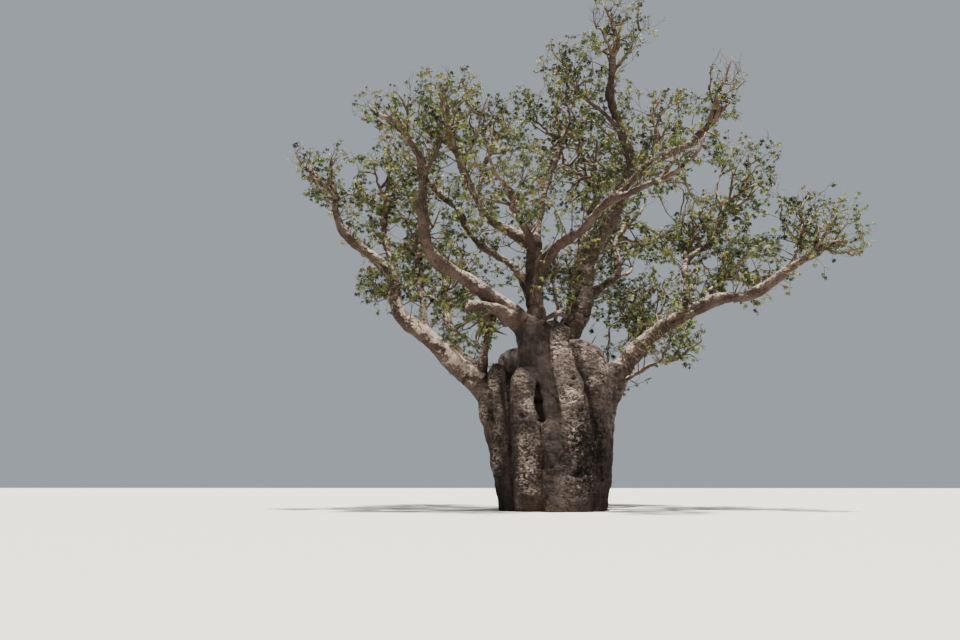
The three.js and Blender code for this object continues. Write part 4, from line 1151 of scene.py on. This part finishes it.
def tube_rows(knots, thick_for):
    """The knots in rows, one for each bent twig: at every knot the heaviest branch goes on."""
    heaviest = {}
    for index, knot in enumerate(knots):
        if knot.back is None or knot.made or knots[knot.back].made:
            continue
        if knot.back not in heaviest or knot.load > knots[heaviest[knot.back]].load:
            heaviest[knot.back] = index
    rows = []
    for index, knot in enumerate(knots):
        if index == 0 or knot.made or (knot.back != 0 and heaviest.get(knot.back) == index):
            continue
        row = [knot.back, index]
        while row[-1] in heaviest:
            row.append(heaviest[row[-1]])
        places = [knots[i].at for i in row]
        most = TWIG_ON_BRANCH if knots[row[0]].made else 1
        radii = [min(thick_for(knots[i].load), most) for i in row[1:]]
        radii.append(radii[-1] * 0.6)
        rows.append((places, radii))
    return rows


class Tubes:
    """Twigs, gathered into arrays."""

    def __init__(self):
        self.points = []
        self.faces = []
        self.count = 0

    def add(self, places, radii, sides=3):
        """A closed, bent tube through the places."""
        places = [np.array(p) for p in places]
        last = len(places) - 1
        side = np.array((0.31, 0.67, 0.52))
        first = self.count
        for i, place in enumerate(places):
            way = places[min(i + 1, last)] - places[max(i - 1, 0)]
            way /= np.linalg.norm(way)
            side = side - way * side.dot(way)
            side /= np.linalg.norm(side)
            face = np.cross(way, side)
            for k in range(sides):
                turn = 2 * math.pi * k / sides
                self.points.append(place + radii[i] * (math.cos(turn) * side + math.sin(turn) * face))
        for i in range(last):
            for k in range(sides):
                a = first + sides * i + k
                b = first + sides * i + (k + 1) % sides
                self.faces += [(a, b, b + sides), (a, b + sides, a + sides)]
        end = first + sides * last
        self.faces += [(first, first + k + 1, first + k) for k in range(1, sides - 1)]
        self.faces += [(end, end + k, end + k + 1) for k in range(1, sides - 1)]
        self.count += sides * (last + 1)


def mesh_object(name, points, faces, tints=None):
    """An object made from arrays of points and triangles."""
    mesh = bpy.data.meshes.new(name)
    points = np.asarray(points, np.float32)
    faces = np.asarray(faces, np.int32)
    mesh.vertices.add(len(points))
    mesh.vertices.foreach_set("co", points.ravel())
    mesh.loops.add(faces.size)
    mesh.loops.foreach_set("vertex_index", faces.ravel())
    mesh.polygons.add(len(faces))
    mesh.polygons.foreach_set("loop_start", np.arange(0, faces.size, 3, dtype=np.int32))
    if tints is not None:
        mesh.polygons.foreach_set("material_index", np.asarray(tints, np.int32))
    mesh.update()
    mesh.validate()
    piece = bpy.data.objects.new(name, mesh)
    bpy.context.scene.collection.objects.link(piece)
    return piece


def make_leaf(name, leaflets, spread, droop):
    """A palmate leaf: leaflets like fingers, cupped along the rib and drooping, on a thin stalk."""
    deselect()
    along, up = STALK_MIDDLE
    bpy.ops.mesh.primitive_plane_add(size=1, location=(0, along * LEAF_LENGTH, up * LEAF_LENGTH))
    stalk = bpy.context.object
    wide, long = STALK_SIZE
    stalk.scale = (wide * LEAF_LENGTH, long * LEAF_LENGTH, 1)
    pieces = [stalk]
    for k in range(leaflets):
        aside = k - (leaflets - 1) / 2
        length = LEAF_LENGTH * (MIDDLE_LEAFLET - OUTER_SHORTER * abs(aside) / leaflets * 2)
        turn = aside / leaflets * spread
        deselect()
        bpy.ops.mesh.primitive_circle_add(vertices=6, radius=0.5, fill_type="NGON", location=(0, 0, 0))
        leaflet = bpy.context.object
        bend = [(p.co.y + 0.5) ** 1.6 for p in leaflet.data.vertices]
        for point, down in zip(leaflet.data.vertices, bend):
            point.co.z = -0.5 * down * droop - (RIB_DEPTH if abs(point.co.x) < 0.1 else 0)
            point.co.x *= LEAFLET_WIDTHS[0] if point.co.y < 0 else LEAFLET_WIDTHS[1]
            point.co.y = (point.co.y + 0.5) * (1 - 0.25 * droop * down)
        leaflet.scale = (length, length, length)
        leaflet.rotation_euler = (0, 0, -turn)
        leaflet.location = (0, STALK_END * LEAF_LENGTH, 0)
        pieces.append(leaflet)
    leaf = joined(pieces, name)
    bpy.ops.object.mode_set(mode="EDIT")
    bpy.ops.mesh.select_all(action="SELECT")
    bpy.ops.mesh.quads_convert_to_tris()
    bpy.ops.object.mode_set(mode="OBJECT")
    shape = points_of(leaf).astype(float)
    faces = np.array([list(p.vertices) for p in leaf.data.polygons])
    bpy.data.objects.remove(leaf)
    return shape, faces


FOLIAGE = {
    "low_left": ["left_low", "left_inner", "left_pale", "left_droop", "left_spur"],
    "mid_left": ["left_mid", "left_mid_fork", "left_back", "centre_left", "centre_left_fork"],
    "crown_front": ["centre_up", "centre_front", "centre_right", "centre_right_fork", "centre_right_low"],
    "tall_right": ["tall", "tall_side", "right_back"],
    "at_back": ["back", "back_low_left", "back_low_right"],
    "low_right": ["right_low", "right_tip_fork", "right_riser", "right_riser_fork", "right_top",
                  "right_droop"],
}
# Kinds of leaves: the number of leaflets, how far they spread and how much they droop
LEAF_KINDS = [(5, 4.4, 0.7), (6, 5.0, 1.1), (5, 3.8, 1.5), (4, 3.4, 0.9)]
LEAF_SHAPES = [make_leaf("leaf", *kind) for kind in LEAF_KINDS]
# The leaves' colours, and the share of the sprays that has each
LEAF_TINTS = [
    ("olive leaf", (0.145, 0.172, 0.055), 0.3),
    ("green leaf", (0.072, 0.118, 0.034), 0.27),
    ("yellow-green leaf", (0.25, 0.27, 0.085), 0.12),
    ("dark leaf", (0.028, 0.046, 0.018), 0.21),
    ("pale leaf", (0.31, 0.335, 0.19), 0.04),
    ("bronze leaf", (0.18, 0.13, 0.06), 0.06),
]
TINT_SHARES = [share for _, _, share in LEAF_TINTS]


class Leaves:
    """Leaves gathered into arrays, each spray of them with one tint."""

    def __init__(self):
        self.points = []
        self.faces = []
        self.tints = []
        self.count = 0

    def add(self, place, way, tint):
        """One leaf with its stalk's foot at the place, pointing the way and a little down."""
        shape, faces = LEAF_SHAPES[rng.integers(len(LEAF_SHAPES))]
        yaw = math.atan2(-way.x, way.y) + rng.normal(0, LEAF_YAW)
        tilt = np.clip(way.z, -0.8, 0.8) - rng.uniform(*LEAF_SINK)
        turn = np.array(Euler((tilt, rng.normal(0, LEAF_ROLL), yaw), "XYZ").to_matrix())
        size = rng.uniform(*LEAF_SIZES)
        self.points.append((shape * size) @ turn.T + np.array(place))
        self.faces.append(faces + self.count)
        self.tints += [tint] * len(faces)
        self.count += len(shape)


def along_twig(foot, middle, end, share):
    return foot.lerp(middle, share * 2) if share < 0.5 else middle.lerp(end, share * 2 - 1)


def twiglet(foot, way, reach, twigs, leaves, bare=BARE_SHARE):
    """A short crooked twig that turns upwards, with a few leaves of one tint or none."""
    spread, rise = TWIGLET_TURN
    way = (way * 0.55 + Vector(rng.normal(0, spread, 3)) + Vector((0, 0, rise))).normalized()
    spread, rise = TWIGLET_BEND
    bend = (way + Vector(rng.normal(0, spread, 3)) + Vector((0, 0, rise))).normalized()
    middle = foot + way * reach * 0.5
    end = middle + bend * reach * 0.5
    if not inside_box(end) or not in_crown(end, rng.uniform(-0.1, 0.3)):
        return
    twigs.add([foot, middle, end], TWIGLET_RADII)
    if rng.random() < bare:
        return
    tint = int(rng.choice(len(LEAF_TINTS), p=TINT_SHARES))
    for _ in range(rng.integers(*LEAVES_PER_TWIGLET)):
        place = along_twig(foot, middle, end, rng.uniform(LEAFY_FROM, 1))
        out = (bend * 0.5 + Vector(rng.normal(0, 1, 3)).normalized()).normalized()
        if rng.random() < HIDING_SHARE or not before_limb(place):
            leaves.add(place, out, tint)


def crooked(start, end, bend):
    """The middle of a twig, off its straight line."""
    length = (end - start).length
    return start.lerp(end, 0.5) + Vector(rng.normal(0, bend * length, 3))


def bareness(mass, point):
    """The share of last twigs that are bare: none at a mass's underside, twice the usual at its top."""
    return THICKNESS[mass.name][1] * (1 + min(max((point.z - mass.middle.z) / mass.reach, -1), 1))


def dress_mass(mass, order, twigs, leaves):
    """A mass's twigs, with twiglets along the thin ones and at their tips."""
    knots = knots_of(mass, order)
    whole = max(knots[1].load, LEAST_LOAD) - 1
    thick_for = lambda load: FINE_TIP + (mass.thick - FINE_TIP) * (max(load - 1, 0) / whole) ** THINNING
    for places, radii in tube_rows(knots, thick_for):
        bent = [places[0]]
        thick = [radii[0]]
        for i in range(1, len(places)):
            bent += [crooked(places[i - 1], places[i], CROOKED), places[i]]
            thick += [(radii[i - 1] + radii[i]) / 2, radii[i]]
        twigs.add(bent, thick, 6 if thick[0] > ROUND_TWIG else 3)
        for i in range(1, len(bent)):
            if thick[i] > TWIG_ON_BRANCH:
                continue
            step = bent[i] - bent[i - 1]
            for _ in range(round(step.length / TWIGLET_SPACING + rng.uniform(-0.5, 0.5))):
                foot = bent[i - 1].lerp(bent[i], rng.uniform(0, 1))
                reach = rng.uniform(*TWIGLET_REACH)
                twiglet(foot, step.normalized(), reach, twigs, leaves, bareness(mass, bent[i]))
        bare = bareness(mass, bent[-1])
        for _ in range(rng.integers(*TWIGLETS_PER_TIP)):
            way = (bent[-1] - bent[-2]).normalized()
            twiglet(bent[-1], way, rng.uniform(*TWIGLET_REACH), twigs, leaves, bare)


def branch(route, foot, tip, twigs):
    """A crooked, tapering branch, and the places that it passes through."""
    length = walk(route, [0, 1])[1]
    shares = np.linspace(0, 1, max(5, round(length / BRANCH_SPACING)))
    places = walk(route, shares)[0]
    radii = [(foot + (tip - foot) * share ** 0.8) * (1 - 0.65 * share ** 5) for share in shares]
    places = [place + Vector(rng.normal(0, BRANCH_WOBBLE, 3)) for place in places]
    twigs.add(places, [radius * rng.uniform(*BRANCH_UNEVEN) for radius in radii], BRANCH_SIDES)
    return places


def run_on(mass, twigs, leaves):
    """The branches that a bough runs on as."""
    for route, foot, tip in BRANCHES[mass.name]:
        places = branch(route, foot, tip, twigs)
        for i in range(1, len(places)):
            if rng.random() < BRANCH_TWIGLETS:
                way = (places[i] - places[i - 1]).normalized()
                reach = rng.uniform(*TWIGLET_REACH)
                twiglet(places[i], way, reach, twigs, leaves, bareness(mass, places[i]))


def sprigs(route, radius_at, start, spacing, reaches, twigs, leaves):
    """Sprigs that stand out along a route."""
    length = walk(route, [0, 1])[1]
    for share in np.arange(start, 0.99, spacing / length):
        (place, ahead), _ = walk(route, [share, min(share + 0.02, 1.0)])
        along = (ahead - place).normalized()
        aside = Vector(rng.normal(0, 1, 3))
        aside = (aside - along * aside.dot(along)).normalized()
        if aside.z < 0 and rng.random() < TURNED_UP:
            aside.z = -aside.z
        way = (aside + along * rng.uniform(0, 0.7) + SLIGHTLY_UP).normalized()
        foot = place + aside * radius_at(share) * 0.7
        reach = rng.uniform(*reaches)
        end = foot + way * reach
        if not inside_box(end) or not in_crown(end, 0.2):
            continue
        middle = crooked(foot, end, 0.1)
        twigs.add([foot, middle, end], SPRIG_RADII)
        for part in np.arange(0.3, 1.0, SPRIG_TWIGLETS / reach):
            place = along_twig(foot, middle, end, part)
            twiglet(place, way, rng.uniform(*TWIGLET_REACH), twigs, leaves)
        for _ in range(2):
            twiglet(end, way, rng.uniform(*TWIGLET_REACH), twigs, leaves)


def dress_bough(name, twigs, leaves):
    """Sprigs along a bough, from a little way past its foot."""
    start = SPRIGS_FROM.get(name, SPRIGS_FROM_TRUNK if name in TRUNK_BOUGHS else SPRIGS_FROM_BOUGH)
    radius_at = lambda share: bough_radius(name, share)
    sprigs(BOUGHS[name][0], radius_at, start, SPRIG_SPACING, SPRIG_REACH, twigs, leaves)


# Finishes
# Dark bough bark, which also paints shade on the centre bough
BOUGH_DARK = (0.055, 0.039, 0.032)
BOUGH_BROWN = (0.11, 0.081, 0.068)
BOUGH_FLECK = (0.26, 0.203, 0.167)
# Pale flaking, which also paints light on the boughs' tops
PALE = (0.44, 0.37, 0.318)
CRACK = (0.04, 0.028, 0.024)
TRUNK_DARK = (0.058, 0.044, 0.039)
TRUNK_BROWN = (0.115, 0.092, 0.081)
# Pale patches of bark, partly painted sunlight
TRUNK_PALE = (0.20, 0.16, 0.139)
# Pale wrinkles, and painted highlight on the raised bark
TRUNK_PALE_HIGHLIGHT = (0.42, 0.35, 0.298)
TRUNK_DULL = (0.03, 0.024, 0.021)
# Dark wrinkles, and painted shade where the bark sinks in
WRINKLE_AND_HOLLOW_SHADE = (0.032, 0.024, 0.021)
# Painted shade in the pits
PIT_SHADE = (0.03, 0.021, 0.018)
# Painted shade in the folds
FOLD_SHADE = (0.045, 0.033, 0.03)
FOOT = (0.11, 0.077, 0.056)
BURN = (0.017, 0.014, 0.013)
# Smooth bark, dark partly as painted shade from the boughs above the column and the neck
SMOOTH_DARK = (0.032, 0.024, 0.021)
SMOOTH_BROWN = (0.05, 0.039, 0.035)
SMOOTH_FLECK = (0.12, 0.098, 0.086)
# Painted light on the shoulder, which lies in the boughs' shadow
SHOULDER_PAINTED_LIGHT = (0.14, 0.113, 0.108)
TWIG_BROWN = (0.10, 0.072, 0.056)
TWIG_LIGHT = (0.185, 0.14, 0.11)
# Painted light on the twigs' tops
TWIG_PAINTED_LIGHT = (0.43, 0.36, 0.30)
FLOOR_PALE = (0.62, 0.6, 0.57)


def bough_look(bark, here, blotch, mottle, fine):
    """Brown bark with pale flaking, most of it on top as painted light, and dark cracks between. The low left
    boughs get painted sunlight, the centre bough painted shade.
    """
    up = bark.part(bark.node("ShaderNodeNewGeometry", output="Normal"), "Z")
    x = bark.part(here, "X")
    y = bark.part(here, "Y")
    z = bark.part(here, "Z")
    # Painted sunlight: the low left boughs get more pale
    low_left = (1 - x.step(-1.9, -1.4)) * (1 - z.step(5.2, 6.2))
    # Painted shade: the centre bough and the neck's top, under the crown, are darkened and get less pale
    centre = x.step(-0.9, -0.7) * (1 - x.step(0.0, 0.2)) * z.step(4.0, 4.4)
    centre = centre * (1 - z.step(6.7, 7.3)) * (1 - y.step(0, 0.3))
    cracks = bark.noise(here, 16, 5, 0.75, 0.5)
    base = bark.mix(blotch.step(0.38, 0.62), BOUGH_DARK, BOUGH_BROWN)
    base = bark.mix(fine.step(0.48, 0.62) * 0.4, base, BOUGH_FLECK)
    # Pale flaking from the noise, with painted light: more where the bark faces up, more on the low left
    # boughs, less on the centre
    flakes_and_painted_light = up * 1.1 + (blotch - 0.5) * 1.4 + (mottle - 0.5) * 3.2 + low_left * 0.6 - centre * 0.5
    base = bark.mix(flakes_and_painted_light.step(0.3, 0.8) * 0.85, base, PALE)
    # Painted shade on the centre bough
    base = bark.mix(centre * 0.7, base, BOUGH_DARK)
    return bark.mix(cracks.step(0.54, 0.64) * 0.7, base, CRACK)


def trunk_look(bark, here, smooth, blotch, mottle, fine):
    """Brown bark wrinkled pale and dark, with painted highlights on its raised bark, painted shade in its
    hollows, pits and folds, a burn and a reddish foot.
    """
    worn = bark.attribute("worn")
    pale = bark.attribute("pale")
    relief = bark.attribute("relief")
    fold = bark.attribute("fold")
    lines = bark.noise(bark.place((3.6, 3.6, 8)), 2.4, 4, 0.62, 0.9)
    streaks = bark.noise(bark.place((6, 6, 1.3)), 1.7, 4, 0.6)
    z = bark.part(here, "Z")
    x = bark.part(here, "X")
    y = bark.part(here, "Y")
    wrinkles = (lines - 0.5) * 6 + (mottle - 0.5) * 3
    rough = bark.mix((blotch * 0.5 + streaks * 0.5).step(0.4, 0.6), TRUNK_DARK, TRUNK_BROWN)
    # Pale patches, partly painted sunlight on the lobes
    rough = bark.mix(pale.step(0.25, 0.95) * 0.75, rough, TRUNK_PALE)
    # Painted highlight: pale on the raised relief, with the pale wrinkles
    light = (wrinkles + relief * 0.3 + (pale - 0.8) * 1.3).step(0.0, 1.1)
    rough = bark.mix(light * (pale * 0.4 + 0.4), rough, TRUNK_PALE_HIGHLIGHT)
    rough = bark.mix((0.35 - pale).step(0, 0.4) * 0.6, rough, TRUNK_DULL)
    # Painted shade: dark where the relief sinks in, with the dark wrinkles
    dark = (-1 * wrinkles - relief * 0.4).step(0.0, 0.8)
    rough = bark.mix(dark * (pale * 0.35 + 0.5), rough, WRINKLE_AND_HOLLOW_SHADE)
    base = bark.mix(worn.step(0.15, 0.6), smooth, rough)
    # Painted shade: dark spots in the pits
    pit = bark.cells(bark.place((1, 1, 0.8)), 6.5)
    spot = (1 - (pit + (mottle - 0.5) * 0.3).step(0.07, 0.2)) * worn * blotch.step(0.38, 0.5)
    base = bark.mix(spot * 0.85, base, PIT_SHADE)
    # Painted shade in the folds and the deep carved grooves
    base = bark.mix((fold + (mottle - 0.5) * 0.5).step(0.35, 1.0) * 0.8, base, FOLD_SHADE)
    foot = (1 - (z + (mottle - 0.5) * 0.4).step(0.0, 0.16)) * 0.35
    away = (x + 0.5) * (x + 0.5) * 7 + (z - 0.18) * (z - 0.18) * 14 + (mottle - 0.5) * 2.5
    under = (1 - away.step(0.2, 1.1)) * (1 - y.step(-1, -0.8))
    base = bark.mix(foot.max(under * 0.6), base, FOOT)
    beside = x - 0.84
    above = z - 1.45
    burn = beside * beside * 4.4 + above * above * 0.8 + (mottle - 0.5) * 3.4 + (blotch - 0.5) * 1.5
    burnt = (1 - (burn - relief * 0.12).step(0.1, 1.0)) * (1 - y.step(-0.8, -0.4))
    base = bark.mix(burnt * (0.95 - light * 0.35), base, BURN)
    return base, wrinkles * worn * 0.15 - spot * 0.5


def bark_finish(name, trunk):
    """The bark of the boughs, or with trunk the trunk's, which passes to the boughs' above the neck."""
    bark = Finish(name, roughness=0.92, specular=0.2)
    here = bark.place()
    blotch = bark.noise(bark.place((1, 1, 1.3)), 1.6, 4, 0.6)
    mottle = bark.noise(here, 11, 6, 0.7)
    fine = bark.noise(here, 40, 4, 0.7)
    base = bough_look(bark, here, blotch, mottle, fine)
    height = mottle * 0.5 + fine * 0.5
    if trunk:
        veins = bark.noise(bark.place((8, 8, 1.6)), 1.6, 4, 0.6)
        # Smooth bark of the column and neck, its dark partly painted shade from the boughs above
        smooth = bark.mix(veins.step(0.35, 0.7), SMOOTH_DARK, SMOOTH_BROWN)
        smooth = bark.mix(fine.step(0.52, 0.7) * 0.3, smooth, SMOOTH_FLECK)
        # Painted light: the shoulder is lightened, though it lies in the boughs' shadow
        smooth = bark.mix(bark.attribute("shoulder_painted_light").step(0.2, 0.9), smooth, SHOULDER_PAINTED_LIGHT)
        smooth = bark.mix(bark.part(here, "Z").step(NECK_FROM, NECK_FROM + NECK_BLEND), smooth, base)
        base, wrinkles = trunk_look(bark, here, smooth, blotch, mottle, fine)
        height = height * 0.6 + wrinkles
    bark.colour(base)
    bark.bump(height, TRUNK_GRAIN if trunk else BOUGH_GRAIN, 0.9)
    return bark.material


def twig_bark():
    bark = Finish("twig bark", roughness=0.9, specular=0.2)
    here = bark.place()
    up = bark.part(bark.node("ShaderNodeNewGeometry", output="Normal"), "Z")
    blotch = bark.noise(here, 6, 3)
    base = bark.mix(blotch.step(0.4, 0.6), TWIG_BROWN, TWIG_LIGHT)
    # Painted light: the twigs are pale on top, where the sun falls
    base = bark.mix((up + (blotch - 0.5) * 1.5).step(0.1, 0.9) * 0.75, base, TWIG_PAINTED_LIGHT)
    bark.colour(base)
    bark.bump(bark.noise(here, 45, 3), 0.008, 0.6)
    return bark.material


def plain(name, colour, roughness):
    made = Finish(name, roughness=roughness, specular=0.3)
    made.colour(colour)
    return made.material


# Making
FLOOR_SIZE = 400
AIR_COLOUR = (0.80, 0.87, 0.95, 1)
AIR_STRENGTH = 0.4
# The sun: how it leans about X and Y and how wide it is, in degrees
SUN_LEAN = (11, 5)
SUN_WIDTH = 3
SUN_STRENGTH = 8.5
SUN_COLOUR = (1, 0.96, 0.9)


def set_camera():
    """The camera, early, and the way its colours are shown."""
    bpy.ops.object.camera_add(location=CAMERA_PLACE, rotation=(math.pi / 2 + CAMERA_TILT, 0, CAMERA_TURN))
    camera = bpy.context.object
    camera.data.lens = CAMERA_LENS
    camera.data.sensor_width = SENSOR_WIDTH
    bpy.context.scene.camera = camera
    bpy.context.scene.view_settings.look = "AgX - Medium High Contrast"


def set_stage():
    """A pale floor, soft light from all around and a high sun."""
    deselect()
    bpy.ops.mesh.primitive_plane_add(size=FLOOR_SIZE, location=(0, 0, 0))
    floor = bpy.context.object
    floor.name = "floor"
    floor.data.materials.append(plain("pale floor", FLOOR_PALE, 0.95))
    world = bpy.data.worlds.new("studio")
    bpy.context.scene.world = world
    world.use_nodes = True
    background = world.node_tree.nodes["Background"]
    background.inputs["Color"].default_value = AIR_COLOUR
    background.inputs["Strength"].default_value = AIR_STRENGTH
    bpy.ops.object.light_add(type="SUN", rotation=(math.radians(SUN_LEAN[0]), math.radians(SUN_LEAN[1]), 0))
    sun = bpy.context.object.data
    sun.energy = SUN_STRENGTH
    sun.angle = math.radians(SUN_WIDTH)
    sun.color = SUN_COLOUR


set_camera()
set_stage()

trunk_finish = bark_finish("trunk bark", True)
bough_finish = bark_finish("bough bark", False)
for piece in make_trunk():
    piece.data.materials.append(trunk_finish)
    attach(piece, "root")
    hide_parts("trunk")
for name, members in GROUPS.items():
    piece = make_boughs(name, members)
    piece.data.materials.append(bough_finish)
    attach(piece, "root")
    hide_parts(*[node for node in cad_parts
                         if any(node in (f"bough_{m}", f"bough_{m}_1", f"bough_{m}_2") for m in members)])

twig_finish = twig_bark()
leaf_finishes = [plain(name, colour, 0.5) for name, colour, _ in LEAF_TINTS]
for side, members in FOLIAGE.items():
    twigs = Tubes()
    leaves = Leaves()
    for order, mass in enumerate(MASSES):
        if mass.name in members:
            dress_mass(mass, order + 1, twigs, leaves)
            run_on(mass, twigs, leaves)
    for member in members:
        dress_bough(member, twigs, leaves)
    if side == "crown_front":
        dress_bough("centre", twigs, leaves)
        for route, foot, tip in THICKET:
            branch(route, foot, tip, twigs)
            sprigs(route, lambda share: tip, THICKET_FROM, THICKET_SPACING, THICKET_REACH, twigs, leaves)
    nodes = [f"leaves_{m}" for m in members]
    piece = mesh_object(f"twigs_{side}", twigs.points, twigs.faces)
    piece.data.materials.append(twig_finish)
    piece.data.shade_smooth()
    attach(piece, "root")
    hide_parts(*nodes)
    points = np.concatenate(leaves.points)
    faces = np.concatenate(leaves.faces)
    piece = mesh_object(f"leaves_{side}", points, faces, leaves.tints)
    for finish in leaf_finishes:
        piece.data.materials.append(finish)
    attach(piece, "root")
    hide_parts(*nodes)

bpy.data.objects.remove(STRETCH)
